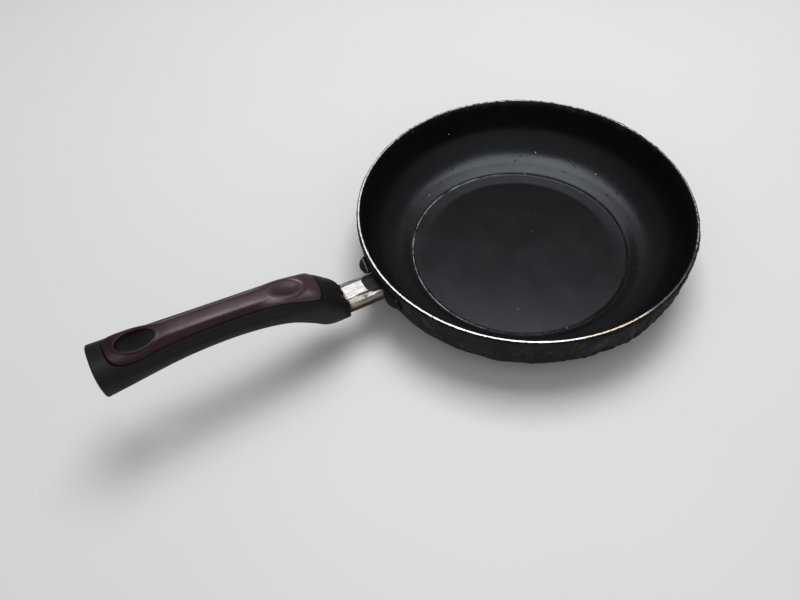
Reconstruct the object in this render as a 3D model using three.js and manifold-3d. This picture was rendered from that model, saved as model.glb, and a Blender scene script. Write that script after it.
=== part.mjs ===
// Burnt frying pan: a pressed aluminium dish whose outer wall carries a crust of burnt-on
// carbon, with a cast bracket, a folded steel ferrule and a moulded two-colour grip.
// Millimetres, +Z up. The origin is the middle of the base, and the grip runs along -X.
import * as THREE from 'three';
import { mergeVertices } from 'three/addons/utils/BufferGeometryUtils.js';
import Module from 'manifold-3d';

const wasm = await Module();
wasm.setup();

const degrees = THREE.MathUtils.degToRad;

// Dish
const rimRadius = 121;
const panDepth = 49;
const wallThickness = 2.3;
const floorThickness = 3.3;
const wallAngle = degrees(82);
const shoulderRadius = 34;
const easeRadius = 110;
const easeAngle = degrees(10);
const panSides = 60;
const shoulderSteps = 7;

// Groove pressed round the cooking floor, and the shallow rings stamped underneath
const floorRing = { radius: 81.8, width: 1.5, depth: 0.5 };
const baseRing = { first: 22, spacing: 17, count: 3, width: 2.6, depth: 0.5 };

// Burnt crust on the outer wall
const crustThickness = 0.7;
const crustLump = 1.9;
const crustRimDrop = 0.9;
const crustFoot = 0.6;
const crustSides = 96;
const crustHeavySide = degrees(80);

// Gap between pieces that touch
const clearance = 0.3;

// Ferrule: an eight-sided steel sleeve, notched on top where the bracket shows
const ferruleWidth = 19.8;
const ferruleTop = 6.35;
const ferruleFoot = 7.5;
const ferruleSheet = 0.8;
const ferruleLength = 29;
const ferruleTilt = degrees(4);
const neckHeight = 33.5;
const notchWidth = 14.6;
const notchLength = 10;

// Bracket: saddle on the wall, two round lobes, an arm through the ferrule and a tang
const saddleThickness = 1.5;
const saddleWidth = 50;
const saddleHeight = 15;
const lobe = { spacing: 35, width: 17, height: 12, proud: 6.4, lift: 2.6 };
const tangWidth = 11;
const tangHeight = 10.4;
const tangReach = 46;
const tangSquareness = 7;
const armRoot = 12;
const armTail = 2;

// Grip
const gripGap = 26.2;
const gripLength = 157.5;
const frontChip = 1.5;
const endRound = 1.8;

// Lofted sections of the grip: share of its length, rise of its middle over the neck, half
// height, half width and squareness (2 is an ellipse)
const gripStations = [
  { share: 0, rise: 3.1, halfHeight: 10, halfWidth: 12.3, bulge: 3.1 },
  { share: 0.032, rise: 5.8, halfHeight: 12.7, halfWidth: 14, bulge: 2.8 },
  { share: 0.115, rise: 13.6, halfHeight: 16.7, halfWidth: 15.5, bulge: 3.1 },
  { share: 0.178, rise: 19.6, halfHeight: 14.9, halfWidth: 15.2, bulge: 2.7 },
  { share: 0.26, rise: 26.1, halfHeight: 12.5, halfWidth: 14.3, bulge: 2.5 },
  { share: 0.417, rise: 32.2, halfHeight: 11, halfWidth: 13, bulge: 2.3 },
  { share: 0.656, rise: 36.9, halfHeight: 11.1, halfWidth: 13.3, bulge: 2.3 },
  { share: 0.916, rise: 38.4, halfHeight: 13.3, halfWidth: 16, bulge: 2.4 },
  { share: 1, rise: 38.6, halfHeight: 13.9, halfWidth: 16.8, bulge: 2.5 },
];

// Soft inlay on top of the grip
const inlayDepth = 2.3;
const inlayProud = 0.9;
const inlayShelf = 0.5;
const inlayStart = 16;
const inlayEnd = 147.2;
const inlayFrontWidth = 24;
const inlayWaistWidth = 17.4;
const inlayBackWidth = 24;
const dimple = { along: 37, length: 23.6, width: 16, depth: 1.3, pressHeight: 4 };

// Hanging hole with its raised lip
const hangingHole = { along: 129, length: 24, width: 15.2 };
const lip = { width: 3, height: 3.4, sink: 1.4 };

// Clamp screw, driven from inside the hanging hole into the end of the tang
const screwDiameter = 5;
const screwHeadDiameter = 8.6;
const screwHeadHeight = 3.2;
const screwEngagement = 9;
const washerThickness = 1.2;
const headRecess = 1;
const crossSlot = { length: 3.4, width: 1 };

function toSolid(geometry) {
  geometry.deleteAttribute('normal');
  geometry.deleteAttribute('uv');
  const merged = mergeVertices(geometry, 1e-4);
  const place = merged.attributes.position;
  const corners = [0, 1, 2].map(() => new THREE.Vector3());
  const faces = [];
  let volume = 0;
  for (let i = 0; i < merged.index.count; i += 3) {
    const face = [0, 1, 2].map((k) => merged.index.getX(i + k));
    if (new Set(face).size < 3) continue;
    corners.forEach((corner, k) => corner.fromBufferAttribute(place, face[k]));
    volume += corners[0].dot(corners[1].clone().cross(corners[2]));
    faces.push(face);
  }
  const triVerts = Uint32Array.from((volume < 0 ? faces.map((f) => f.reverse()) : faces).flat());
  const vertProperties = Float32Array.from(place.array);
  return new wasm.Manifold(new wasm.Mesh({ numProp: 3, vertProperties, triVerts }));
}

function toGeometry(solid) {
  const mesh = solid.getMesh();
  const geometry = new THREE.BufferGeometry();
  geometry.setAttribute('position', new THREE.BufferAttribute(mesh.vertProperties, mesh.numProp));
  geometry.setIndex(new THREE.BufferAttribute(mesh.triVerts, 1));
  geometry.computeVertexNormals();
  return geometry;
}

// Skin over rings of points: joined end to end, or closed by a fan at each end
function skin(rings, joined = false) {
  const count = rings[0].length;
  const points = rings.flat();
  const faces = [];
  const steps = joined ? rings.length : rings.length - 1;
  for (let i = 0; i < steps; i++) {
    const near = i * count;
    const far = ((i + 1) % rings.length) * count;
    for (let j = 0; j < count; j++) {
      const next = (j + 1) % count;
      faces.push(near + j, near + next, far + next, near + j, far + next, far + j);
    }
  }
  if (!joined) {
    for (const [first, flip] of [[0, true], [(rings.length - 1) * count, false]]) {
      const ring = points.slice(first, first + count);
      const hub = ring.reduce((sum, p) => sum.add(p), new THREE.Vector3()).divideScalar(count);
      points.push(hub);
      for (let j = 0; j < count; j++) {
        const pair = [first + j, first + (j + 1) % count];
        faces.push(points.length - 1, ...(flip ? pair.reverse() : pair));
      }
    }
  }
  const geometry = new THREE.BufferGeometry().setFromPoints(points);
  geometry.setIndex(faces);
  return toSolid(geometry);
}

// Superellipse in an upright plane at distance s out from the middle of the dish
function upright(s, z, halfWidth, halfHeight, power, sides) {
  return Array.from({ length: sides }, (_, i) => {
    const angle = (2 * Math.PI * (i + 0.5)) / sides;
    const c = Math.cos(angle);
    const d = Math.sin(angle);
    const y = halfWidth * Math.sign(c) * Math.abs(c) ** (2 / power);
    return new THREE.Vector3(s, y, z + halfHeight * Math.sign(d) * Math.abs(d) ** (2 / power));
  });
}

function extrude(shape, depth, curveSegments = 8) {
  return new THREE.ExtrudeGeometry(shape, { depth, bevelEnabled: false, curveSegments });
}

function roundedRectangle(left, right, bottom, top, radius) {
  const shape = new THREE.Shape();
  shape.moveTo(right, bottom + radius);
  shape.absarc(right - radius, top - radius, radius, 0, Math.PI / 2);
  shape.absarc(left + radius, top - radius, radius, Math.PI / 2, Math.PI);
  shape.absarc(left + radius, bottom + radius, radius, Math.PI, 1.5 * Math.PI);
  shape.absarc(right - radius, bottom + radius, radius, 1.5 * Math.PI, 2 * Math.PI);
  return shape;
}

// Outline of the wall, moved inward by inset: the ease out of the flat base, the shoulder and
// the straight wall up to the rim are one chain of arcs about shared centres
const shoulderCentre = {
  r: (easeRadius - shoulderRadius) * Math.sin(easeAngle),
  z: easeRadius - (easeRadius - shoulderRadius) * Math.cos(easeAngle),
};
const straightRise = panDepth - shoulderCentre.z + shoulderRadius * Math.cos(wallAngle);
const shoulderReach = shoulderCentre.r + shoulderRadius * Math.sin(wallAngle);
const baseRadius = rimRadius - shoulderReach - straightRise / Math.tan(wallAngle);

function shoulderPoint(angle, inset) {
  const reach = shoulderRadius - inset;
  return new THREE.Vector2(
    baseRadius + shoulderCentre.r + reach * Math.sin(angle),
    shoulderCentre.z - reach * Math.cos(angle),
  );
}

function easePoint(angle, inset) {
  const reach = easeRadius - inset;
  return new THREE.Vector2(baseRadius + reach * Math.sin(angle), easeRadius - reach * Math.cos(angle));
}

function wallPoint(height, inset) {
  const start = shoulderPoint(wallAngle, inset);
  return new THREE.Vector2(start.x + (height - start.y) / Math.tan(wallAngle), height);
}

function wallOutline(inset, top, easeSteps) {
  const points = [];
  for (let i = 0; i < easeSteps; i++) points.push(easePoint((easeAngle * i) / easeSteps, inset));
  for (let i = 0; i <= shoulderSteps; i++) {
    const angle = THREE.MathUtils.lerp(easeAngle, wallAngle, i / shoulderSteps);
    points.push(shoulderPoint(angle, inset));
  }
  points.push(wallPoint(top, inset));
  return points;
}

// Where the neck starts on the saddle's face, and the places that follow from it
const neckStart = wallPoint(neckHeight, 0).x + clearance + saddleThickness;
const ferruleStart = neckStart + clearance;
const gripStart = neckStart + gripGap;

// Inside outline: the floor is thicker than the wall, and the metal thins over the shoulder
function insideOutline() {
  const outline = wallOutline(wallThickness, panDepth, 1);
  const spare = floorThickness - wallThickness;
  return outline.map((p) => {
    const share = THREE.MathUtils.clamp(p.y / shoulderCentre.z, 0, 1);
    return new THREE.Vector2(p.x, p.y + spare * (1 - share));
  });
}

function panBody() {
  const underside = [new THREE.Vector2(0, 0)];
  for (let i = 0; i < baseRing.count; i++) {
    const radius = baseRing.first + i * baseRing.spacing;
    underside.push(new THREE.Vector2(radius - baseRing.width / 2, 0));
    underside.push(new THREE.Vector2(radius, baseRing.depth));
    underside.push(new THREE.Vector2(radius + baseRing.width / 2, 0));
  }
  const outside = wallOutline(0, panDepth, 2);
  const inside = insideOutline();
  const ringPoints = [-1, 0, 1].map((side) => {
    const radius = floorRing.radius + (side * floorRing.width) / 2;
    const share = (radius - inside[0].x) / (inside[1].x - inside[0].x);
    const depth = side === 0 ? floorRing.depth : 0;
    return new THREE.Vector2(radius, THREE.MathUtils.lerp(inside[0].y, inside[1].y, share) - depth);
  });
  inside.splice(1, 0, ...ringPoints);
  const floor = new THREE.Vector2(0, inside[0].y);
  const profile = [...underside, ...outside, ...inside.reverse(), floor];
  return toSolid(new THREE.LatheGeometry(profile, panSides).rotateX(Math.PI / 2));
}

// The dish as a full plug, grown outward: what touches the wall is cut by it
function panPlug(grow) {
  const top = 2 * panDepth;
  const outline = wallOutline(-grow, top, 2);
  const profile = [new THREE.Vector2(0, -grow), ...outline, new THREE.Vector2(0, top)];
  return toSolid(new THREE.LatheGeometry(profile, panSides).rotateX(Math.PI / 2));
}

// Smooth random field over the wall, from 0 to 1, that closes on itself round the dish
function lumpField(turn, height, cells) {
  const hash = (i, j) => {
    const value = Math.sin(((i + cells) % cells) * 12.9898 + j * 78.233) * 43758.5453;
    return value - Math.floor(value);
  };
  const x = turn * cells;
  const i = Math.floor(x);
  const j = Math.floor(height);
  const u = THREE.MathUtils.smoothstep(x - i, 0, 1);
  const v = THREE.MathUtils.smoothstep(height - j, 0, 1);
  const low = THREE.MathUtils.lerp(hash(i, j), hash(i + 1, j), u);
  const high = THREE.MathUtils.lerp(hash(i, j + 1), hash(i + 1, j + 1), u);
  return THREE.MathUtils.lerp(low, high, v);
}

function crustDepth(turn, share) {
  const coarse = lumpField(turn, share * 2, 19);
  const fine = lumpField(turn, share * 4 + 40, 53);
  const swell = Math.sin(Math.PI * (0.1 + 0.8 * share));
  const heavy = 1 + 0.5 * Math.cos(2 * Math.PI * turn - crustHeavySide);
  return crustThickness * (0.5 + fine) + crustLump * heavy * swell * coarse ** 2 * (0.4 + fine);
}

// Crust: one closed skin from the foot of the shoulder to just under the rim. Its inner face
// follows the wall, its outer face is lumpy, and the hob has kept its foot clear of the ground.
function burntCrust() {
  const rings = [];
  const rows = shoulderSteps + 1;
  for (let k = 0; k < crustSides; k++) {
    const turn = k / crustSides;
    const top = panDepth - crustRimDrop * (0.5 + lumpField(turn, 7, 41));
    const place = (row, inset) => {
      if (row === rows) return wallPoint(top, inset);
      return shoulderPoint(THREE.MathUtils.lerp(easeAngle, wallAngle, row / shoulderSteps), inset);
    };
    const section = [];
    for (let row = 0; row <= rows; row++) section.push(place(row, -clearance));
    for (let row = rows; row >= 0; row--) {
      const outer = place(row, -clearance - crustDepth(turn, row / rows));
      section.push(outer.setY(Math.max(outer.y, crustFoot)));
    }
    const angle = 2 * Math.PI * turn;
    rings.push(section.map((p) => new THREE.Vector3(p.x * Math.cos(angle), p.x * Math.sin(angle), p.y)));
  }
  const neck = bracketBlank(clearance).add(ferruleBar(0, -2 * clearance, gripGap));
  return skin(rings, true).subtract(neck);
}

// Saddle and lobes before the wall is cut out of them
function bracketBlank(grow) {
  const reach = saddleWidth / 2;
  const low = neckHeight - saddleHeight / 2 - grow;
  const high = neckHeight + saddleHeight / 2 + grow;
  const half = saddleWidth / 2 + grow;
  const face = extrude(roundedRectangle(-half, half, low, high, saddleHeight / 3), reach, 6);
  face.rotateX(Math.PI / 2).rotateZ(Math.PI / 2).translate(neckStart - reach / 2, 0, 0);
  let blank = toSolid(face).intersect(panPlug(clearance + saddleThickness + grow));
  for (const side of [-1, 1]) {
    const dome = new THREE.SphereGeometry(1, 20, 12);
    dome.scale(lobe.width / 2 + grow, lobe.width / 2 + grow, lobe.height / 2 + grow);
    const back = neckStart + lobe.proud - saddleThickness - lobe.width / 2;
    dome.translate(back, (side * lobe.spacing) / 2, neckHeight + lobe.lift);
    blank = blank.add(toSolid(dome));
  }
  return blank;
}

function ferruleOutline(inset) {
  const half = ferruleWidth / 2 - inset;
  const top = ferruleTop - inset;
  const foot = ferruleFoot - inset;
  const shape = new THREE.Shape();
  const corners = [
    [0.51 * half, top], [half, 0.7 * top], [half, -0.2 * foot], [0.76 * half, -foot],
  ];
  corners.forEach(([y, z], i) => (i === 0 ? shape.moveTo(y, z) : shape.lineTo(y, z)));
  corners.reverse().forEach(([y, z]) => shape.lineTo(-y, z));
  return shape;
}

// Bar with the ferrule's outline, from the given distance past the ferrule's start
function ferruleBar(from, inset, length) {
  const bar = extrude(ferruleOutline(inset), length);
  bar.rotateX(Math.PI / 2).rotateZ(Math.PI / 2).translate(from, 0, 0).rotateY(-ferruleTilt);
  return toSolid(bar.translate(ferruleStart, 0, neckHeight));
}

function ferrule() {
  const inside = ferruleBar(-ferruleSheet, ferruleSheet, ferruleLength + 2 * ferruleSheet);
  const sleeve = ferruleBar(0, 0, ferruleLength).subtract(inside);
  const half = notchWidth / 2;
  const notch = roundedRectangle(-ferruleLength, notchLength, -half, half, 4);
  const cutter = extrude(notch, 2 * ferruleTop).translate(0, 0, 0.24 * ferruleTop);
  cutter.rotateY(-ferruleTilt).translate(ferruleStart, 0, neckHeight);
  return sleeve.subtract(toSolid(cutter)).subtract(bracketBlank(clearance));
}

// Half sizes of the grip and the height of its middle at a distance along it
const stationPlaces = gripStations.map((station) => station.share);
const stationValues = gripStations.flatMap(({ rise, halfHeight, halfWidth, bulge }) => {
  return [rise, halfHeight, halfWidth, bulge];
});
const gripCurve = new THREE.CubicInterpolant(stationPlaces, stationValues, 4, new Float32Array(4));

function gripAt(along) {
  const [rise, halfHeight, halfWidth, bulge] = gripCurve.evaluate(along / gripLength);
  return { s: gripStart + along, z: neckHeight + rise, halfHeight, halfWidth, bulge };
}

function gripSlope(along) {
  return Math.atan2(gripAt(along + 2).z - gripAt(along - 2).z, 4);
}

// Tang: it leaves the ferrule, follows the middle of the grip and takes the screw in its end
function tang(grow) {
  const start = ferruleLength + 2 * clearance - gripGap - grow;
  const rings = [];
  const steps = 8;
  for (let i = 0; i <= steps; i++) {
    const along = THREE.MathUtils.lerp(start, tangReach + grow, i / steps);
    const { s, z } = gripAt(along);
    rings.push(upright(s, z, tangWidth / 2 + grow, tangHeight / 2 + grow, tangSquareness, 16));
  }
  return skin(rings);
}

// Line of the clamp screw, from the end of the tang to the front of the hanging hole
const tangEnd = gripAt(tangReach);
const holeFront = gripAt(hangingHole.along - hangingHole.length / 2);
const screwSlope = Math.atan2(holeFront.z - tangEnd.z, holeFront.s - tangEnd.s);
const screwRun = Math.hypot(holeFront.z - tangEnd.z, holeFront.s - tangEnd.s);

// Turned piece on the screw's line; its profile's second number runs along the line
function onScrewLine(profile, sides = 20) {
  const points = profile.map(([radius, along]) => new THREE.Vector2(radius, along));
  const lathe = new THREE.LatheGeometry(points, sides);
  lathe.rotateZ(-Math.PI / 2).rotateY(-screwSlope).translate(tangEnd.s, 0, tangEnd.z);
  return toSolid(lathe);
}

const screwSeat = screwRun - headRecess - washerThickness - screwHeadHeight;
const washerStart = screwSeat + clearance;
const headStart = washerStart + washerThickness + clearance;

function handleBracket() {
  const arm = ferruleBar(-armRoot, ferruleSheet + clearance, armRoot + ferruleLength + armTail);
  const boreRadius = screwDiameter / 2 + clearance;
  const depth = screwEngagement + 1;
  const bore = onScrewLine([[0, -depth], [boreRadius, -depth], [boreRadius, 5], [0, 5]]);
  return bracketBlank(0).add(arm).add(tang(0)).subtract(bore).subtract(panPlug(clearance));
}

function clampScrew() {
  const shank = screwDiameter / 2;
  const head = screwHeadDiameter / 2;
  const top = headStart + screwHeadHeight;
  const body = onScrewLine([
    [0, -screwEngagement], [shank - 0.8, -screwEngagement], [shank, 0.8 - screwEngagement],
    [shank, headStart], [head, headStart], [head, top - 1.2], [head - 1.4, top], [0, top],
  ]);
  const cross = [0, 1].map((turn) => {
    const slot = new THREE.BoxGeometry(crossSlot.length, 1.1 * head, crossSlot.width);
    slot.rotateX((turn * Math.PI) / 2);
    slot.translate(top, 0, 0).rotateY(-screwSlope).translate(tangEnd.s, 0, tangEnd.z);
    return toSolid(slot);
  });
  return body.subtract(cross[0].add(cross[1]));
}

function springWasher() {
  const inner = screwDiameter / 2 + clearance;
  const outer = screwHeadDiameter / 2;
  const start = washerStart;
  const end = washerStart + washerThickness;
  const ring = onScrewLine([
    [inner, start], [outer, start], [outer, end], [inner, end], [inner, start],
  ]);
  const split = new THREE.BoxGeometry(3 * washerThickness, outer, 0.8);
  split.translate(start, outer, 0).rotateX(0.6).rotateY(-screwSlope).translate(tangEnd.s, 0, tangEnd.z);
  return ring.subtract(toSolid(split));
}

// Outline of the inlay seen from above: wide at the thumb, narrow at the waist and wide again
// round the hanging hole
function inlayPlan(grow) {
  const front = gripStart + inlayStart - grow;
  const back = gripStart + inlayEnd + grow;
  const length = back - front;
  const widths = [inlayFrontWidth, inlayWaistWidth, inlayBackWidth];
  const [a, b, c] = widths.map((width) => width / 2 + grow);
  const thumb = front + 5;
  const [waistStart, backStart] = [front + 0.4 * length, front + 0.9 * length];
  const [narrowing, narrow] = [front + 0.1 * length, front + 0.2 * length];
  const [widening, wide] = [front + 0.8 * length, front + 0.84 * length];
  const turn = front + 0.99 * length;
  const plan = new THREE.Shape();
  plan.moveTo(front, 0);
  plan.bezierCurveTo(front, 0.6 * a, front + 1.2, a, thumb, a);
  plan.bezierCurveTo(narrowing, a, narrow, b, waistStart, b);
  plan.bezierCurveTo(widening, b, wide, c, backStart, c);
  plan.bezierCurveTo(turn, c, back, 0.75 * c, back, 0);
  plan.bezierCurveTo(back, -0.75 * c, turn, -c, backStart, -c);
  plan.bezierCurveTo(wide, -c, widening, -b, waistStart, -b);
  plan.bezierCurveTo(narrow, -b, narrowing, -a, thumb, -a);
  plan.bezierCurveTo(front + 1.2, -a, front, -0.6 * a, front, 0);
  return toSolid(extrude(plan, 3 * gripLength, 7));
}

// Everything under the inlay and the given gap: a loft whose top lies below the grip's surface
// and whose sides drop straight down
function underInlay(gap) {
  const rings = [];
  const steps = 16;
  const sides = 28;
  for (let i = 0; i <= steps; i++) {
    const along = THREE.MathUtils.lerp(0.3 * inlayStart, inlayEnd + 8, i / steps);
    const { s, z, halfHeight, halfWidth, bulge } = gripAt(along);
    const [w, h] = [halfWidth + inlayShelf - gap, halfHeight - inlayDepth - gap];
    const arch = upright(s, z, w, h, bulge, sides).slice(0, sides / 2);
    rings.push([...arch, arch.at(-1).clone().setZ(-1), arch[0].clone().setZ(-1)]);
  }
  return skin(rings);
}

function holePlug(grow) {
  const { s } = gripAt(hangingHole.along);
  const plug = new THREE.CylinderGeometry(1, 1, 3 * gripLength, 32).rotateX(Math.PI / 2);
  plug.scale(hangingHole.length / 2 + grow, hangingHole.width / 2 + grow, 1).translate(s, 0, 0);
  return toSolid(plug);
}

// Rounded lip that stands round the hanging hole, in line with the grip's top
function holeLip() {
  const place = gripAt(hangingHole.along);
  const slope = gripSlope(hangingHole.along);
  const height = place.z + place.halfHeight - lip.sink;
  const [turns, sides] = [36, 8];
  const rings = [];
  for (let i = 0; i < turns; i++) {
    const turn = (2 * Math.PI * i) / turns;
    const section = [];
    for (let j = 0; j < sides; j++) {
      const round = (2 * Math.PI * j) / sides;
      const out = (lip.width / 2) * (0.9 + Math.cos(round));
      const x = (hangingHole.length / 2 + out) * Math.cos(turn);
      const y = (hangingHole.width / 2 + out) * Math.sin(turn);
      const point = new THREE.Vector3(x, y, (lip.height / 2) * Math.sin(round));
      point.applyAxisAngle(new THREE.Vector3(0, 1, 0), -slope);
      section.push(point.add(new THREE.Vector3(place.s, 0, height)));
    }
    rings.push(section);
  }
  return skin(rings, true);
}

// Ellipsoid that presses the thumb dimple: it opens to the dimple's length and width
function thumbPress() {
  const { s, z, halfHeight } = gripAt(dimple.along);
  const { length, width, depth, pressHeight } = dimple;
  const spread = 0.5 / Math.sqrt(1 - (1 - depth / pressHeight) ** 2);
  const press = new THREE.SphereGeometry(1, 28, 14);
  press.scale(spread * length, spread * width, pressHeight).rotateY(-gripSlope(dimple.along));
  return toSolid(press.translate(s, 0, z + halfHeight + inlayProud + pressHeight - depth));
}

function gripInlay() {
  const crown = [];
  for (let i = 0; i <= 20; i++) {
    const along = THREE.MathUtils.lerp(inlayStart - 5, inlayEnd + 5, i / 20);
    const { s, z, halfHeight, halfWidth, bulge } = gripAt(along);
    crown.push(upright(s, z, halfWidth + 0.2, halfHeight + inlayProud, bulge + 0.3, 32));
  }
  const cuts = underInlay(0).add(thumbPress()).add(holePlug(0));
  return inlayPlan(0).intersect(skin(crown)).add(holeLip()).subtract(cuts);
}

function gripBody() {
  const rings = [];
  const steps = 19;
  for (let i = 0; i <= steps; i++) {
    const along = (gripLength - 2 * endRound) * (i / steps) ** 1.4;
    const { s, z, halfHeight, halfWidth, bulge } = gripAt(along);
    rings.push(upright(s, z, halfWidth, halfHeight, bulge, 32));
  }
  rings[0].forEach((p, i) => p.setX(p.x + frontChip * lumpField(i / 32, 3, 32)));
  const end = gripAt(gripLength);
  for (const turn of [0, 0.33, 0.67, 1].map((share) => (share * Math.PI) / 2)) {
    const back = endRound * (1 - Math.sin(turn));
    const shrink = endRound * (1 - Math.cos(turn));
    const [w, h] = [end.halfWidth - shrink, end.halfHeight - shrink];
    rings.push(upright(end.s - back, end.z, w, h, end.bulge, 32));
  }
  const seat = ferruleBar(0, -clearance, ferruleLength + armTail + clearance);
  const boreRadius = screwDiameter / 2 + clearance;
  const recessRadius = screwHeadDiameter / 2 + clearance;
  const bore = onScrewLine([[0, -2], [boreRadius, -2], [boreRadius, screwRun + 2], [0, screwRun + 2]]);
  const recess = onScrewLine([
    [0, screwSeat], [recessRadius, screwSeat], [recessRadius, screwRun + 4], [0, screwRun + 4],
  ]);
  const pocket = inlayPlan(clearance).subtract(underInlay(clearance));
  const cuts = seat.add(tang(clearance)).add(bore).add(recess).add(pocket).add(holePlug(0));
  return skin(rings).subtract(cuts);
}

function piece(name, solid, color, roughness, metalness) {
  const material = new THREE.MeshStandardMaterial({ color, roughness, metalness });
  const mesh = new THREE.Mesh(toGeometry(solid), material);
  mesh.name = name;
  return mesh;
}

const group = new THREE.Group();
group.add(piece('pan_body', panBody(), 0x2a2a2c, 0.45, 0.2));

const handleSide = new THREE.Group();
handleSide.rotation.z = Math.PI;
handleSide.add(
  piece('burnt_crust', burntCrust(), 0x17110f, 0.9, 0),
  piece('handle_bracket', handleBracket(), 0x302c2b, 0.6, 0.6),
  piece('ferrule', ferrule(), 0xb9b6ae, 0.35, 0.9),
  piece('grip_body', gripBody(), 0x222120, 0.55, 0),
  piece('grip_inlay', gripInlay(), 0x4b3a42, 0.5, 0),
  piece('clamp_screw', clampScrew(), 0x9a9892, 0.4, 0.9),
  piece('spring_washer', springWasher(), 0x8d8b86, 0.4, 0.9),
);
group.add(handleSide);

export default group;
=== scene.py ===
import math

import bmesh
import bpy
import numpy as np
from mathutils import Matrix, Vector


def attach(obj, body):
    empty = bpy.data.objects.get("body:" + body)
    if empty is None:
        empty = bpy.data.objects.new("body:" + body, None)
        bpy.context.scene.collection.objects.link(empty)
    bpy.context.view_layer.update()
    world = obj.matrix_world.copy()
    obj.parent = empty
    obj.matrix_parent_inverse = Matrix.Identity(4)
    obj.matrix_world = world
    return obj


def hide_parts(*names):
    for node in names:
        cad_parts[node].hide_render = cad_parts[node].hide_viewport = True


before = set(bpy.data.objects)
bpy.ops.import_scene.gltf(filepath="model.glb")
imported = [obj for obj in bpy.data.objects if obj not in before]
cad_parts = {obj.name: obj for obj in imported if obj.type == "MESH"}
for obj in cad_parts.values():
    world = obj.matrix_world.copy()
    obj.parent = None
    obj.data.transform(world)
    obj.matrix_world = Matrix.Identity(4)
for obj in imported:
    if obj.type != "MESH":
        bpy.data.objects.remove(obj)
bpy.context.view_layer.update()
mm = 0.001  # shapes are worked out in millimetres and stored in metres
gap = 0.3  # clearance between pieces that touch, as in the frame
print("frame loaded, pieces:", len(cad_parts))

# Sizes that the dish, the crust and the bracket share
dish = {
    "rimRadius": 121.0,
    "depth": 49.0,
    "wall": 2.3,
    "floor": 3.65,
    "wallAngle": math.radians(82),
    "shoulderRadius": 34.0,
    "easeRadius": 110.0,
    "easeAngle": math.radians(10),
    "rimRound": 0.7,
    "nickDepth": 0.32,
    "nickDrop": 0.10,
    "rimWave": 0.12,
    "turns": 600,
    "ringRadius": 81.8,
    "ringWidth": 1.7,
    "ringDepth": 0.5,
    "flatFloor": 1.7,
    "floorBend": 71.6,
    "floorEnd": 89.5,
    "floorSlope": math.radians(7.6),
    "slopeSide": math.radians(62),  # the warped floor slopes up to the groove on this side only
    "stampedRings": (22.0, 39.0, 56.0),
    "stampedWidth": 2.6,
    "stampedDepth": 0.5,
}
shoulderShift = dish["easeRadius"] - dish["shoulderRadius"]
shoulderR = shoulderShift * math.sin(dish["easeAngle"])
shoulderZ = dish["easeRadius"] - shoulderShift * math.cos(dish["easeAngle"])
straightRise = dish["depth"] - shoulderZ + dish["shoulderRadius"] * math.cos(dish["wallAngle"])
baseRadius = (dish["rimRadius"] - shoulderR - dish["shoulderRadius"] * math.sin(dish["wallAngle"])
              - straightRise / math.tan(dish["wallAngle"]))


# Meshes from numpy grids

def cleanMesh(mesh, sharpAngle):
    # welds seams and poles, turns the faces outwards and marks the sharp edges
    work = bmesh.new()
    work.from_mesh(mesh)
    bmesh.ops.remove_doubles(work, verts=work.verts, dist=2e-6)
    bmesh.ops.dissolve_degenerate(work, dist=1e-6, edges=work.edges)
    bmesh.ops.triangulate(work, faces=[face for face in work.faces if len(face.verts) > 4])
    # two faces on the same corners lie back to back, and both go
    onCorners = {}
    for face in work.faces:
        onCorners.setdefault(frozenset(vert.index for vert in face.verts), []).append(face)
    stray = [face for same in onCorners.values() if len(same) > 1 for face in same]
    bmesh.ops.delete(work, geom=stray, context="FACES")
    bmesh.ops.recalc_face_normals(work, faces=work.faces)
    work.to_mesh(mesh)
    work.free()
    mesh.polygons.foreach_set("use_smooth", np.ones(len(mesh.polygons), dtype=bool))
    mesh.set_sharp_from_angle(angle=math.radians(sharpAngle))
    mesh.update()


def gridPiece(name, grid, joinRows=True, joinColumns=True, sharpAngle=40):
    # rows and columns of points in mm become quads; a joined direction closes on itself
    rows, columns = grid.shape[:2]
    i = np.arange(rows if joinRows else rows - 1)[:, None]
    j = np.arange(columns if joinColumns else columns - 1)[None, :]
    nextI = (i + 1) % rows
    nextJ = (j + 1) % columns
    corners = [i * columns + j, nextI * columns + j, nextI * columns + nextJ, i * columns + nextJ]
    quads = np.stack(corners, axis=-1).reshape(-1, 4)
    mesh = bpy.data.meshes.new(name)
    mesh.vertices.add(rows * columns)
    mesh.vertices.foreach_set("co", (grid.reshape(-1) * mm).astype(np.float32))
    mesh.loops.add(quads.size)
    mesh.loops.foreach_set("vertex_index", quads.reshape(-1).astype(np.int32))
    mesh.polygons.add(len(quads))
    mesh.polygons.foreach_set("loop_start", np.arange(0, quads.size, 4, dtype=np.int32))
    mesh.update(calc_edges=True)
    mesh.validate()
    cleanMesh(mesh, sharpAngle)
    piece = bpy.data.objects.new(name, mesh)
    bpy.context.scene.collection.objects.link(piece)
    return piece


def bakeModifiers(piece, sharpAngle=40):
    # keeps the modified mesh and drops the modifiers
    bpy.context.view_layer.update()
    graph = bpy.context.evaluated_depsgraph_get()
    mesh = bpy.data.meshes.new_from_object(piece.evaluated_get(graph))
    piece.modifiers.clear()
    old = piece.data
    piece.data = mesh
    bpy.data.meshes.remove(old)
    cleanMesh(mesh, sharpAngle)


def cutWith(piece, cutters, sharpAngle=40):
    for cutter in cutters:
        step = piece.modifiers.new("cut", "BOOLEAN")
        step.operation = "DIFFERENCE"
        step.solver = "MANIFOLD"
        step.object = cutter
    bakeModifiers(piece, sharpAngle)
    for cutter in cutters:
        mesh = cutter.data
        bpy.data.objects.remove(cutter)
        bpy.data.meshes.remove(mesh)


def smoothStep(x, low, high):
    t = np.clip((x - low) / (high - low), 0, 1)
    return t * t * (3 - 2 * t)


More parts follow.
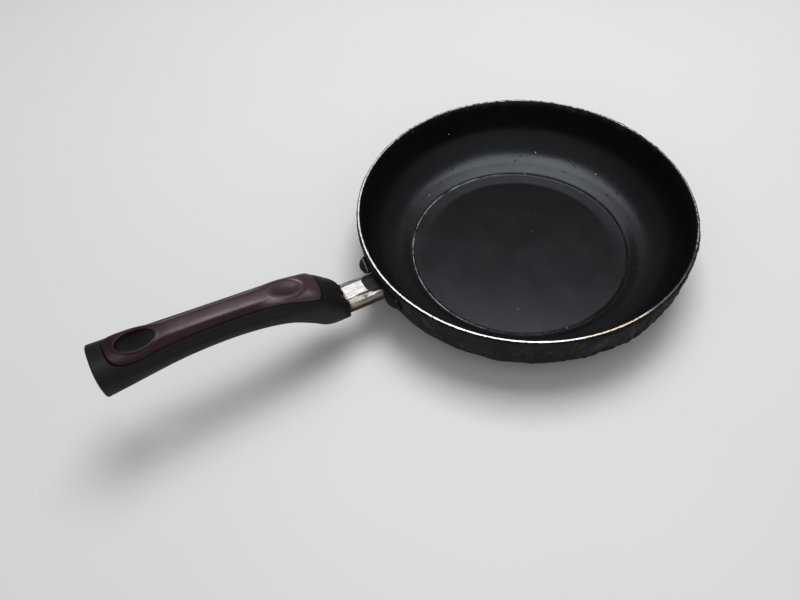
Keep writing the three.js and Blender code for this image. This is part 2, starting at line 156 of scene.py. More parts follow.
def ringNoise(turn, height, cells, seed):
    # smooth random field, 0 to 1: random corners on a lattice that closes round the dish, blended
    # by smoothstep; turn runs from 0 to 1 and height counts lattice rows
    table = np.random.default_rng(seed).random((cells, 256))
    x = turn * cells
    i = np.floor(x).astype(int)
    j = np.floor(height).astype(int)
    u = smoothStep(x - i, 0, 1)
    v = smoothStep(height - j, 0, 1)
    low = table[i % cells, j % 256] * (1 - u) + table[(i + 1) % cells, j % 256] * u
    high = table[i % cells, (j + 1) % 256] * (1 - u) + table[(i + 1) % cells, (j + 1) % 256] * u
    return low * (1 - v) + high * v


def plateNoise(turn, height, cells, seed):
    # broken plates: every point takes the random height of its nearest jittered lattice point,
    # and the second value is how much further the next one is, which is 0 at a crack
    pick = np.random.default_rng(seed)
    jitterX, jitterY, level = pick.random((3, cells, 64))
    x = turn * cells
    i = np.floor(x).astype(int)
    j = np.floor(height).astype(int)
    nearest = np.full(x.shape, 9.0)
    second = np.full(x.shape, 9.0)
    plate = np.zeros(x.shape)
    for di in (-1, 0, 1):
        for dj in (-1, 0, 1):
            a = (i + di) % cells
            b = (j + dj) % 64
            away = np.hypot(i + di + jitterX[a, b] - x, j + dj + jitterY[a, b] - height)
            closer = away < nearest
            second = np.where(closer, nearest, np.minimum(second, away))
            plate = np.where(closer, level[a, b], plate)
            nearest = np.where(closer, away, nearest)
    return plate, second - nearest


# Outline of the dish: arcs about shared centres, moved inward by inset

def arcPoints(centreR, centreZ, reach, angles):
    return np.stack([centreR + reach * np.sin(angles), centreZ - reach * np.cos(angles)], axis=-1)


def easeArc(inset, share):
    radius = dish["easeRadius"]
    return arcPoints(baseRadius, radius, radius - inset, share * dish["easeAngle"])


def shoulderArc(inset, share):
    angles = dish["easeAngle"] + share * (dish["wallAngle"] - dish["easeAngle"])
    return arcPoints(baseRadius + shoulderR, shoulderZ, dish["shoulderRadius"] - inset, angles)


def wallLine(inset, heights):
    start = shoulderArc(inset, np.array([1.0]))[0]
    radii = start[0] + (heights - start[1]) / math.tan(dish["wallAngle"])
    return np.stack([radii, heights + 0 * radii], axis=-1)


def wallRadius(height):
    return float(wallLine(0, np.array([height]))[0, 0])


def slopeRise(radius):
    # a line from the bend outwards, rounded where it starts
    past = radius - dish["floorBend"]
    return math.tan(dish["floorSlope"]) * (past + np.sqrt(past ** 2 + 0.5)) / 2


def dishProfile():
    # underside, outside, rounded rim, inside and floor, from the axis round to the axis
    radii = [np.array([0.0])]
    for ring in dish["stampedRings"]:
        radii.append(ring + dish["stampedWidth"] * np.linspace(-0.75, 0.75, 7))
    radii = np.concatenate(radii)
    groove = np.zeros(len(radii))
    for ring in dish["stampedRings"]:
        offset = np.clip(np.abs(radii - ring) / (dish["stampedWidth"] / 2), 0, 1)
        groove += dish["stampedDepth"] * np.cos(offset * math.pi / 2)
    underside = np.stack([radii, groove], axis=-1)
    wallTop = dish["depth"] - dish["rimRound"]
    outside = np.concatenate([
        easeArc(0, np.linspace(0, 1, 4)[:-1]),
        shoulderArc(0, np.linspace(0, 1, 15)[:-1]),
        wallLine(0, np.linspace(wallRise(0), wallTop, 4)),
    ])
    inside = np.concatenate([
        shoulderArc(dish["wall"], np.linspace(0, 1, 21)[:-1]),
        wallLine(dish["wall"], np.linspace(wallRise(dish["wall"]), wallTop, 4)),
    ])
    floorSpare = dish["floor"] - dish["wall"]
    inside[:, 1] += floorSpare * (1 - np.clip(inside[:, 1] / shoulderZ, 0, 1))
    # the floor is flat to the bend, slopes up a little to the groove and runs on to the shoulder
    ringHalf = dish["ringWidth"] / 2
    bend = dish["floorBend"]
    floorR = np.concatenate([
        np.linspace(0, bend - 4, 8), np.linspace(bend - 2, bend + 2, 9),
        np.linspace(bend + 3.5, dish["ringRadius"] - 3 * ringHalf, 5),
        dish["ringRadius"] + ringHalf * np.linspace(-2, 2, 25), np.linspace(85, 89, 4),
    ])
    floorZ = dish["flatFloor"] + slopeRise(floorR)
    reached = np.interp(dish["ringRadius"], floorR, floorZ)
    outward = np.clip((floorR - dish["ringRadius"]) / (inside[0, 0] - dish["ringRadius"]), 0, 1)
    floorZ = np.where(outward > 0, reached + (inside[0, 1] - reached) * outward, floorZ)
    offset = np.abs(floorR - dish["ringRadius"]) / ringHalf
    floorZ -= dish["ringDepth"] * np.clip(1 - offset, 0, 1) ** 0.8
    floorZ += 0.10 * np.exp(-((offset - 1.25) / 0.3) ** 2)
    floor = np.stack([floorR, floorZ], axis=-1)
    rim = []
    outer = wallRadius(dish["depth"]) - 0.02
    inner = outer - dish["wall"]
    for centre, angles in (
        (outer - dish["rimRound"], np.linspace(0, math.pi / 2, 6)[1:]),
        (inner + dish["rimRound"], np.linspace(math.pi / 2, math.pi, 6)[:-1]),
    ):
        rim.append(np.stack([
            centre + dish["rimRound"] * np.cos(angles),
            wallTop + dish["rimRound"] * np.sin(angles),
        ], axis=-1))
    return np.concatenate([underside, outside, *rim, inside[::-1], floor[::-1]])


def wallRise(inset):
    return float(shoulderArc(inset, np.array([1.0]))[0, 1])


def makeDish():
    # surface of revolution: (r, z) of the profile by the turn about the upright axis, with the rim
    # nicked by noise
    profile = dishProfile()
    turn = np.arange(dish["turns"]) / dish["turns"]
    r = np.repeat(profile[None, :, 0], dish["turns"], axis=0)
    z = np.repeat(profile[None, :, 1], dish["turns"], axis=0)
    t = np.repeat(turn[:, None], len(profile), axis=1)
    nearRim = smoothStep(z, dish["depth"] - 1.6, dish["depth"] - 0.2)
    middle = dish["rimRadius"] - dish["wall"] / 2
    nick = smoothStep(ringNoise(t, 3 + 0 * t, 230, 11), 0.62, 0.95)
    nick += 0.7 * smoothStep(ringNoise(t, 7 + 0 * t, 420, 12), 0.7, 0.95)
    r -= np.sign(r - middle) * nearRim * nick * dish["nickDepth"]
    z -= nearRim * (dish["nickDrop"] * nick + dish["rimWave"] * ringNoise(t, 9 + 0 * t, 26, 13))
    angle = 2 * math.pi * t
    # opposite the slope the floor stays level up to the groove: the rise is taken away again
    level = smoothStep(np.cos(angle - dish["slopeSide"]), 0.45, -0.35)
    rise = slopeRise(np.minimum(r, dish["ringRadius"]))
    rise *= smoothStep(r, dish["floorEnd"], dish["ringRadius"] + 1)
    onFloor = (r < dish["floorEnd"]) & (z > dish["flatFloor"] - dish["ringDepth"] - 0.2)
    z -= np.where(onFloor, rise * level, 0)
    grid = np.stack([r * np.cos(angle), r * np.sin(angle), z], axis=-1)
    return gridPiece("dish_shell", grid, True, False, 50)


# Burnt crust: one closed skin on the outer wall

crust = {
    "thickness": 0.7,
    "lump": 1.9,
    "rimDrop": 0.9,
    "foot": 0.6,
    "heavySide": math.radians(80),  # in the turned frame of the handle
    "lumpySide": math.radians(128),
    "turns": 760,
    "rows": 84,
    "plateLift": 0.55,
    "chipLift": 0.22,
    "bite": 0.5,
    "grit": 0.45,
}


def lumpField(turn, height, cells):
    # the frame's own lump pattern, so that the big lumps lie where the solid has them
    def scatter(i, j):
        value = np.sin((i % cells) * 12.9898 + j * 78.233) * 43758.5453
        return value - np.floor(value)
    x = turn * cells
    i, j = np.floor(x), np.floor(height)
    u, v = smoothStep(x - i, 0, 1), smoothStep(height - j, 0, 1)
    low = scatter(i, j) * (1 - u) + scatter(i + 1, j) * u
    high = scatter(i, j + 1) * (1 - u) + scatter(i + 1, j + 1) * u
    return low * (1 - v) + high * v


def crustDepth(turn, share):
    coarse = lumpField(turn, share * 2, 19)
    fine = lumpField(turn, share * 4 + 40, 53)
    swell = np.sin(math.pi * (0.1 + 0.8 * share))
    heavy = 1 + 0.5 * np.cos(2 * math.pi * turn - crust["heavySide"])
    base = crust["thickness"] * (0.5 + fine)
    base = base + crust["lump"] * heavy * swell * coarse ** 2 * (0.4 + fine)
    plate, crack = plateNoise(turn, share * 9, 150, 21)
    small, smallCrack = plateNoise(turn, share * 22 + 5, 330, 22)
    edge = smoothStep(crack, 0.0, 0.16)
    plates = crust["plateLift"] * (plate - 0.45) * edge
    plates = plates + crust["chipLift"] * (small - 0.5) * smoothStep(smallCrack, 0, 0.2)
    grit = ringNoise(turn, share * 30, 380, 23) - 0.5
    grit = grit + 0.6 * (ringNoise(turn, share * 60, 760, 24) - 0.5)
    bite = smoothStep(ringNoise(turn, share * 14, 170, 25), 0.72, 0.9)
    lumpy = 0.2 + 0.8 * smoothStep(np.cos(2 * math.pi * turn - crust["lumpySide"]), -0.1, 0.8)
    relief = plates * (0.5 + share) + crust["grit"] * grit
    depth = base * (0.5 + 0.5 * lumpy) + heavy * lumpy * relief
    depth = depth + 0.16 * (1 - lumpy) * grit - crust["bite"] * bite * lumpy
    return np.maximum(depth, 0.12)


def makeCrust():
    # a closed section carried round the dish: inner row along the wall, outer row by the depth
    rows = crust["rows"]
    turn = (np.arange(crust["turns"]) / crust["turns"])[:, None]
    share = np.linspace(0, 1, rows)[None, :]
    top = dish["depth"] - crust["rimDrop"] * (0.5 + lumpField(turn, 7 + 0 * turn, 41))
    top = top + 0.5 * (ringNoise(turn, 3 + 0 * turn, 260, 26) - 0.5)
    top = np.minimum(top, dish["depth"] - 0.35)

    def place(outward):
        # the last eighth of the share is the straight wall up to the ragged top edge
        bend = shoulderArc(-outward, np.clip(share * 8 / 7, 0, 1))
        straight = np.clip(share * 8 - 7, 0, 1)
        height = bend[..., 1] + straight * (top - bend[..., 1])
        radius = bend[..., 0] + (height - bend[..., 1]) / math.tan(dish["wallAngle"])
        return radius, height

    full = share + 0 * turn
    depth = crustDepth(turn + 0 * share, full)
    ends = np.minimum(smoothStep(full, 0, 0.015), smoothStep(full, 1, 0.985))
    depth = 0.12 + (depth - 0.12) * np.sqrt(ends)
    outerR, outerZ = place(gap + depth)
    outerR = np.minimum(outerR, dish["rimRadius"] + 1.05)
    outerZ = np.maximum(outerZ, crust["foot"])
    coarse = np.linspace(0, 1, 12)
    innerR, innerZ = place(gap + 0 * depth)
    pick = np.round(coarse * (rows - 1)).astype(int)
    r = np.concatenate([outerR, innerR[:, pick[::-1]]], axis=1)
    z = np.concatenate([outerZ, innerZ[:, pick[::-1]]], axis=1)
    angle = 2 * math.pi * turn + math.pi  # the handle's side is turned half round
    grid = np.stack([r * np.cos(angle), r * np.sin(angle), z], axis=-1)
    piece = gridPiece("crust_skin", grid, True, True, 60)
    bar = makeBar("bar_cutter", -20, 40, -2 * gap)
    cutWith(piece, [saddleCutter(), *lobeSolids("crust_lobe", gap), bar], 60)
    return piece


# Neck: where the bracket, the ferrule and the grip start

neck = {
    "height": 33.5,
    "saddleThickness": 1.5,
    "saddleWidth": 50.0,
    "saddleHeight": 15.0,
    "saddleRound": 5.0,
    "lobeSpacing": 35.0,
    "lobeWidth": 17.0,
    "lobeHeight": 12.0,
    "lobeProud": 6.4,
    "lobeLift": 2.6,
    "buriedFrom": 122.6,  # radius
    "buriedShare": 0.5,
    "castCell": 0.42,
    "castPits": 0.20,
    "castGrain": 0.12,
    "ferruleWidth": 19.8,
    "ferruleTop": 6.35,
    "ferruleFoot": 7.5,
    "ferruleLength": 29.0,
    "ferruleSheet": 0.8,
    "ferruleDent": 0.16,
    "ferruleTaper": 0.3,
    "ferruleTilt": math.radians(4),
    "cornerRound": 1.1,
    "notchWidth": 15.8,
    "notchLength": 11.0,
    "notchRound": 5.4,
    "gripGap": 26.2,
}
neckStart = wallRadius(neck["height"]) + gap + neck["saddleThickness"]
ferruleStart = neckStart + gap
gripStart = neckStart + neck["gripGap"]


def turned(points):
    # from the handle's own direction, along +X, to the frame, where it runs along -X
    return points * np.array([-1.0, -1.0, 1.0])


def tilted(points):
    # from the ferrule's own axes to the handle's direction
    c, s = math.cos(neck["ferruleTilt"]), math.sin(neck["ferruleTilt"])
    x, y, z = points[..., 0], points[..., 1], points[..., 2]
    return np.stack([ferruleStart + x * c - z * s, y, neck["height"] + x * s + z * c], axis=-1)


def ferruleSection(inset, count):
    # eight corners, each rounded by an arc between its two sides; points run round the section
    half = neck["ferruleWidth"] / 2 - inset
    top = neck["ferruleTop"] - inset
    foot = neck["ferruleFoot"] - inset
    right = np.array([[0.76, -1], [1, -0.2], [1, 0.7], [0.51, 1]])
    right = right * np.array([[half, foot], [half, foot], [half, top], [half, top]])
    corners = np.concatenate([right, right[::-1] * [-1, 1]])
    points = []
    for k in range(8):
        here, before, after = corners[k], corners[k - 1], corners[(k + 1) % 8]
        toBefore = (before - here) / np.linalg.norm(before - here)
        toAfter = (after - here) / np.linalg.norm(after - here)
        spread = math.acos(np.clip(toBefore @ toAfter, -1, 1)) / 2
        radius = max(neck["cornerRound"] - inset, 0.3)
        setback = radius / math.tan(spread)
        middle = (toBefore + toAfter) / np.linalg.norm(toBefore + toAfter)
        centre = here + middle * radius / math.sin(spread)
        first = here + toBefore * setback - centre
        last = here + toAfter * setback - centre
        for share in np.linspace(0, 1, 7):
            blend = first * (1 - share) + last * share
            points.append(centre + radius * blend / np.linalg.norm(blend))
    points = np.array(points)
    ahead = np.roll(points, -1, axis=0)
    along = np.concatenate([[0], np.cumsum(np.linalg.norm(ahead - points, axis=1))])
    loop = np.concatenate([points, points[:1]])
    at = np.arange(count) / count * along[-1]
    return np.stack([np.interp(at, along, loop[:, 0]), np.interp(at, along, loop[:, 1])], axis=-1)


def makeBar(name, start, end, inset):
    # the ferrule's section carried along its axis and closed at both ends
    section = ferruleSection(inset, 160)
    stops = [(start, 0.0), (start, 1.0), (end, 1.0), (end, 0.0)]
    rows = []
    for x, scale in stops:
        flat = np.full(len(section), x)
        rows.append(np.stack([flat, section[:, 0] * scale, section[:, 1] * scale], axis=-1))
    return gridPiece(name, turned(tilted(np.array(rows))), False, True, 30)


def ellipsoid(name, centre, radii, turns=72, rows=36):
    # sphere by two angles, stretched to the three radii
    a = np.linspace(0, math.pi, rows)[:, None]
    b = (np.arange(turns) / turns * 2 * math.pi)[None, :]
    unit = np.stack([np.sin(a) * np.cos(b), np.sin(a) * np.sin(b), np.cos(a) + 0 * b], axis=-1)
    return gridPiece(name, turned(np.array(centre) + unit * np.array(radii)), False, True, 60)


def lobeSolids(name, grow):
    back = neckStart + neck["lobeProud"] - neck["saddleThickness"] - neck["lobeWidth"] / 2
    radius = neck["lobeWidth"] / 2 + grow
    radii = (radius, radius, neck["lobeHeight"] / 2 + grow)
    height = neck["height"] + neck["lobeLift"]
    return [ellipsoid(name + end, (back, side * neck["lobeSpacing"] / 2, height), radii)
            for end, side in (("_far", -1), ("_near", 1))]


def prism(outline, base, top):
    # a closed outline of (x, y) in the handle's direction, between two heights for each point
    ring = np.asarray(outline)
    middle = ring.mean(axis=0)
    rows = []
    for scale, height in ((0.0, base), (1.0, base), (1.0, top), (0.0, top)):
        flat = middle + (ring - middle) * scale
        rows.append(np.concatenate([flat, np.full((len(ring), 1), height)], axis=-1))
    return np.array(rows)


def roundedBox(left, right, low, high, radius, steps=10):
    # rectangle with quarter arcs at its corners
    points = []
    for x, y, start in ((right, low, -0.5), (right, high, 0), (left, high, 0.5), (left, low, 1)):
        cx = x - math.copysign(radius, x - (left + right) / 2)
        cy = y - math.copysign(radius, y - (low + high) / 2)
        angles = math.pi * (start + 0.5 * np.linspace(0, 1, steps))
        arc = np.stack([np.cos(angles), np.sin(angles)], axis=-1)
        points.append(np.array([cx, cy]) + radius * arc)
    return np.concatenate(points)


def saddleCutter():
    # the saddle's outline grown by the gap, carried out through the wall
    half = neck["saddleWidth"] / 2 + gap
    rise = neck["saddleHeight"] / 2 + gap
    middle = np.array([0.0, neck["height"]])
    outline = middle + roundedBox(-half, half, -rise, rise, neck["saddleRound"])
    rows = []
    for scale, reach in ((0, 100.0), (1, 100.0), (1, 150.0), (0, 150.0)):
        flat = middle + (outline - middle) * scale
        rows.append(np.stack([np.full(len(flat), reach), flat[:, 0], flat[:, 1]], axis=-1))
    return gridPiece("saddle_cutter", turned(np.array(rows)), False, True, 30)


def makeFerrule():
    # outer face from front to back, then the inner face back: a folded tube with a sheet's wall
    count = 320
    length = neck["ferruleLength"]
    outer = ferruleSection(0, count)
    inner = ferruleSection(neck["ferruleSheet"], count)
    along = np.concatenate([[0, 0.12], np.linspace(0.5, length - 0.5, 64), [length - 0.12, length]])
    edge = np.minimum(smoothStep(along, -0.2, 0.35), smoothStep(along, length + 0.2, length - 0.35))
    angle = np.arange(count) / count
    wave = ringNoise(angle + 0 * along[:, None], along[:, None] / 5 + 0 * angle, 14, 31) - 0.5
    dent = neck["ferruleDent"] * wave - 0.5 * (1 - edge[:, None]) * neck["ferruleTaper"]
    outward = outer / np.linalg.norm(outer, axis=1)[:, None]
    shape = outer[None] + outward[None] * (dent - 0.08)[..., None]
    x = np.repeat(along[:, None], count, axis=1)
    front = np.concatenate([x[..., None], shape], axis=-1)
    back = np.stack([x[::-1], np.repeat(inner[None, :, 0], len(along), 0),
                     np.repeat(inner[None, :, 1], len(along), 0)], axis=-1)[::8]
    grid = turned(tilted(np.concatenate([front, back])))
    piece = gridPiece("ferrule_sleeve", grid, True, True, 32)
    half = neck["notchWidth"] / 2
    notch = roundedBox(-length, neck["notchLength"], -half, half, neck["notchRound"], 14)
    block = prism(notch, 0.24 * neck["ferruleTop"], 3 * neck["ferruleTop"])
    cutter = gridPiece("notch_cutter", turned(tilted(block)), False, True, 30)
    cutWith(piece, [cutter, *lobeSolids("lobe_cutter", gap)], 32)
    return piece


def makeBracket():
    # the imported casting, re-skinned in small cells so that its edges are soft, as cast metal's are
    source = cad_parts["handle_bracket"]
    mesh = source.data.copy()
    mesh.materials.clear()
    work = bmesh.new()
    work.from_mesh(mesh)
    bmesh.ops.remove_doubles(work, verts=work.verts, dist=1e-6)
    work.to_mesh(mesh)
    work.free()
    piece = bpy.data.objects.new("bracket_casting", mesh)
    bpy.context.scene.collection.objects.link(piece)
    skin = piece.modifiers.new("skin", "REMESH")
    skin.mode = "VOXEL"
    skin.voxel_size = neck["castCell"] * mm
    soften = piece.modifiers.new("soften", "SMOOTH")
    soften.factor = 0.5
    soften.iterations = 6
    bakeModifiers(piece, 70)
    # scale of burnt carbon: each point sinks along its normal by two noises of different size
    mesh = piece.data
    count = len(mesh.vertices)
    place = np.empty(count * 3)
    normal = np.empty(count * 3)
    mesh.vertices.foreach_get("co", place)
    mesh.vertices.foreach_get("normal", normal)
    place, normal = place.reshape(-1, 3), normal.reshape(-1, 3)
    turn = (np.arctan2(place[:, 1], place[:, 0]) / (2 * math.pi)) % 1
    sink = neck["castPits"] * ringNoise(turn, place[:, 2] / mm / 1.6, 420, 41)
    sink += neck["castGrain"] * ringNoise(turn, place[:, 2] / mm / 0.7, 960, 42)
    place -= normal * sink[:, None] * mm
    # the lobe on the near side is half buried: what stands out past the wall is drawn in
    reach = np.hypot(place[:, 0], place[:, 1])
    wall = neck["buriedFrom"] * mm
    buried = smoothStep(place[:, 1], -10 * mm, -12 * mm) * (reach > wall)
    drawn = 1 - buried * neck["buriedShare"] * (reach - wall) / reach
    place[:, :2] *= drawn[:, None]
    mesh.vertices.foreach_set("co", place.reshape(-1))
    mesh.update()
    return piece


# Grip: a loft through stations, its inlay and the hanging hole

grip = {
    "length": 157.5,
    "stations": (  # share of the length, rise over the neck, half height, half width, squareness
        (0, 3.1, 10, 12.3, 3.1), (0.032, 5.8, 12.7, 14, 2.8), (0.115, 13.6, 16.7, 15.5, 3.1),
        (0.178, 19.6, 14.9, 15.2, 2.7), (0.26, 26.1, 12.5, 14.3, 2.5), (0.417, 32.2, 11, 13, 2.3),
        (0.656, 36.9, 11.1, 13.3, 2.3), (0.916, 38.4, 13.3, 16, 2.4), (1, 38.6, 13.9, 16.8, 2.5),
    ),
    "endRound": 1.8,
    "endHalf": 14.0,
    "endDome": 0.6,
    "frontRound": 1.0,
    "frontHalf": 10.3,
    "burntBite": 2.1,
    "valleySide": 17.0,  # degrees up from the sides
    "valleyWidth": 9.0,
    "valleyDepth": 0.035,  # share of the section
    "crumbleDepth": 0.10,
    "around": 208,
}
inlay = {
    "depth": 2.3,
    "proud": 0.9,
    "start": 16.0,
    "end": 147.2,
    "frontWidth": 24.0,
    "waistWidth": 17.4,
    "backWidth": 24.0,
    "spineStart": 10.0,
    "spineEnd": 11.0,
    "edgeRound": 0.8,
    "crease": 5.3,  # from the middle line to the crease between the crown and the side band
    "creaseLift": 0.16,
    "creaseSpread": 6.0,  # how much wider the crease runs round the hanging hole
    "bandWidth": 4.2,
    "bandDrop": 1.7,
    "dimpleAlong": 37.0,
    "dimpleLength": 23.6,
    "dimpleWidth": 16.0,
    "dimpleDepth": 1.3,
    "ridgeLift": 0.5,
}
hole = {"along": 129.0, "length": 24.0, "width": 15.2, "lipWidth": 2.6, "lipHeight": 0.2,
        "lipReach": 0.7, "lipShift": 0.6, "lipDip": 0.9}


def gripAt(along):
    # cubic through the stations; the slope at one is the mean of the slopes on both its sides
    stations = np.array(grip["stations"], dtype=float)
    x = stations[:, 0]
    share = np.clip(np.asarray(along, dtype=float) / grip["length"], 0, 1)
    i = np.clip(np.searchsorted(x, share, side="right") - 1, 0, len(x) - 2)
    step = x[i + 1] - x[i]
    t = (share - x[i]) / step
    found = []
    for value in stations[:, 1:].T:
        secant = np.diff(value) / np.diff(x)
        slope = np.concatenate([secant[:1], (secant[:-1] + secant[1:]) / 2, secant[-1:]])
        found.append(
            value[i] * (1 + 2 * t) * (1 - t) ** 2 + value[i + 1] * t * t * (3 - 2 * t)
            + step * (slope[i] * t * (1 - t) ** 2 - slope[i + 1] * t * t * (1 - t)))
    found[0] = neck["height"] + found[0]
    return gripStart + np.asarray(along, dtype=float), *found


def makeGripLoft():
    # superellipse sections along the grip, closed by a burnt, bitten front and a rounded back
    length, front = grip["length"], grip["frontRound"]
    shrinkFront = front / grip["frontHalf"]
    shrinkBack = grip["endRound"] / grip["endHalf"]
    turnIn = np.linspace(0, math.pi / 2, 6)[1:]
    sides = front + (length - grip["endRound"] - front) * np.linspace(0, 1, 300)[1:]
    turnOut = np.linspace(0, math.pi / 2, 7)[1:]
    closing = np.linspace(1, 0, 12)[1:]
    along = np.concatenate([
        np.zeros(14), front * (1 - np.cos(turnIn)), sides,
        length - grip["endRound"] * (1 - np.sin(turnOut)) - grip["endDome"],
        length - grip["endDome"] * closing ** 2,
    ])[:, None]
    scale = np.concatenate([
        np.linspace(0, 1, 14) * (1 - shrinkFront), 1 - shrinkFront * (1 - np.sin(turnIn)),
        np.ones(len(sides)),
        1 - shrinkBack * (1 - np.cos(turnOut)), (1 - shrinkBack) * closing,
    ])[:, None]
    turn = ((np.arange(grip["around"]) + 0.5) / grip["around"])[None, :]
    s, z, halfHeight, halfWidth, bulge = gripAt(along)
    angle = 2 * math.pi * turn
    c, d = np.cos(angle), np.sin(angle)
    # the burnt front is bitten back unevenly, and the bite fades out along the grip
    bite = ringNoise(turn, 2 + 0 * turn, 19, 51) ** 2 + 0.7 * ringNoise(turn, 5 + 0 * turn, 43, 52)
    fade = smoothStep(along, 7, 0) * scale
    s = s + 0 * turn + fade * grip["burntBite"] * bite
    crumble = ringNoise(turn + 0 * along, along / 1.1 + 0 * turn, 60, 53) - 0.5
    crumble = crumble * smoothStep(along, 9, 0)
    # lengthwise valley under the inlay's edge, on both sides
    side = np.abs(((turn * 360 + 90) % 180) - 90)
    valley = np.exp(-((side - grip["valleySide"]) / grip["valleyWidth"]) ** 2) * (np.sin(angle) > 0)
    valleyFade = smoothStep(along, 26, 48) * smoothStep(along, length - 4, length - 26)
    shrink = 1 - grip["valleyDepth"] * valley * valleyFade + grip["crumbleDepth"] * crumble
    shrink = shrink - 0.02 * smoothStep(along, 5, 0)
    y = halfWidth * np.sign(c) * np.abs(c) ** (2 / bulge) * scale * shrink
    up = halfHeight * np.sign(d) * np.abs(d) ** (2 / bulge) * scale * shrink
    grid = np.stack([s, y + 0 * s, z + up], axis=-1)
    return gridPiece("grip_moulding", turned(grid), False, True, 48)


def inlayOutline(grow, count):
    # four bezier curves from the blunt front along one side to the back, mirrored for the other
    # side; points are evenly spaced along the line
    front = inlay["start"] - grow
    back = inlay["end"] + grow
    length = back - front
    a, b, c = (inlay[k] / 2 + grow for k in ("frontWidth", "waistWidth", "backWidth"))
    thumb, waist, rear = front + 5, front + 0.4 * length, front + 0.9 * length
    curves = (
        ((front, 0), (front, 0.6 * a), (front + 1.2, a), (thumb, a)),
        ((thumb, a), (front + 0.1 * length, a), (front + 0.2 * length, b), (waist, b)),
        ((waist, b), (front + 0.8 * length, b), (front + 0.84 * length, c), (rear, c)),
        ((rear, c), (front + 0.99 * length, c), (back, 0.75 * c), (back, 0)),
    )
    t = np.linspace(0, 1, 200)[:-1, None]
    half = np.concatenate([
        (1 - t) ** 3 * np.array(p) + 3 * t * (1 - t) ** 2 * np.array(q)
        + 3 * t * t * (1 - t) * np.array(r) + t ** 3 * np.array(w)
        for p, q, r, w in curves
    ] + [np.array([[back, 0.0]])])
    run = np.concatenate([[0], np.cumsum(np.linalg.norm(np.diff(half, axis=0), axis=1))])
    at = np.linspace(0, run[-1], count // 2 + 1)
    side = np.stack([np.interp(at, run, half[:, 0]), np.interp(at, run, half[:, 1])], axis=-1)
    other = side[1:-1][::-1] * [1, -1]
    return np.concatenate([side, other])


def crownHeight(along, y, lift, wider):
    # height of the grip's top at a place, raised by lift
    _, z, halfHeight, halfWidth, bulge = gripAt(along)
    power = bulge + wider
    across = np.clip(np.abs(y) / (halfWidth + 0.2), 0, 0.995)
    return z + (halfHeight + lift) * (1 - across ** power) ** (1 / power)


def overGrip(plan, height):
    # points at a height over places (along, across) on the grip
    return np.stack([gripStart + plan[..., 0], plan[..., 1], height], axis=-1)


def inlaySpine():
    # where the middle line of the inlay starts and ends
    return inlay["start"] + inlay["spineStart"], inlay["end"] - inlay["spineEnd"]


def insetRings(outline, shares):
    # rings inside an outline: each point moves by a share of its way to the spine of the shape
    spine = np.stack([np.clip(outline[:, 0], *inlaySpine()), 0 * outline[:, 0]], axis=-1)
    way = spine - outline
    return outline + way * np.reshape(shares, (-1, 1, 1)), np.linalg.norm(way, axis=1)


def holeDistance(along, y):
    # distance outside the hanging hole's ellipse, near enough for a thin lip
    a, b = hole["length"] / 2 - hole["lipReach"], hole["width"] / 2 - hole["lipReach"]
    x = along - hole["along"] - hole["lipShift"]
    size = np.sqrt((x / a) ** 2 + (y / b) ** 2) + 1e-9
    return (size - 1) * np.hypot(x, y) / size


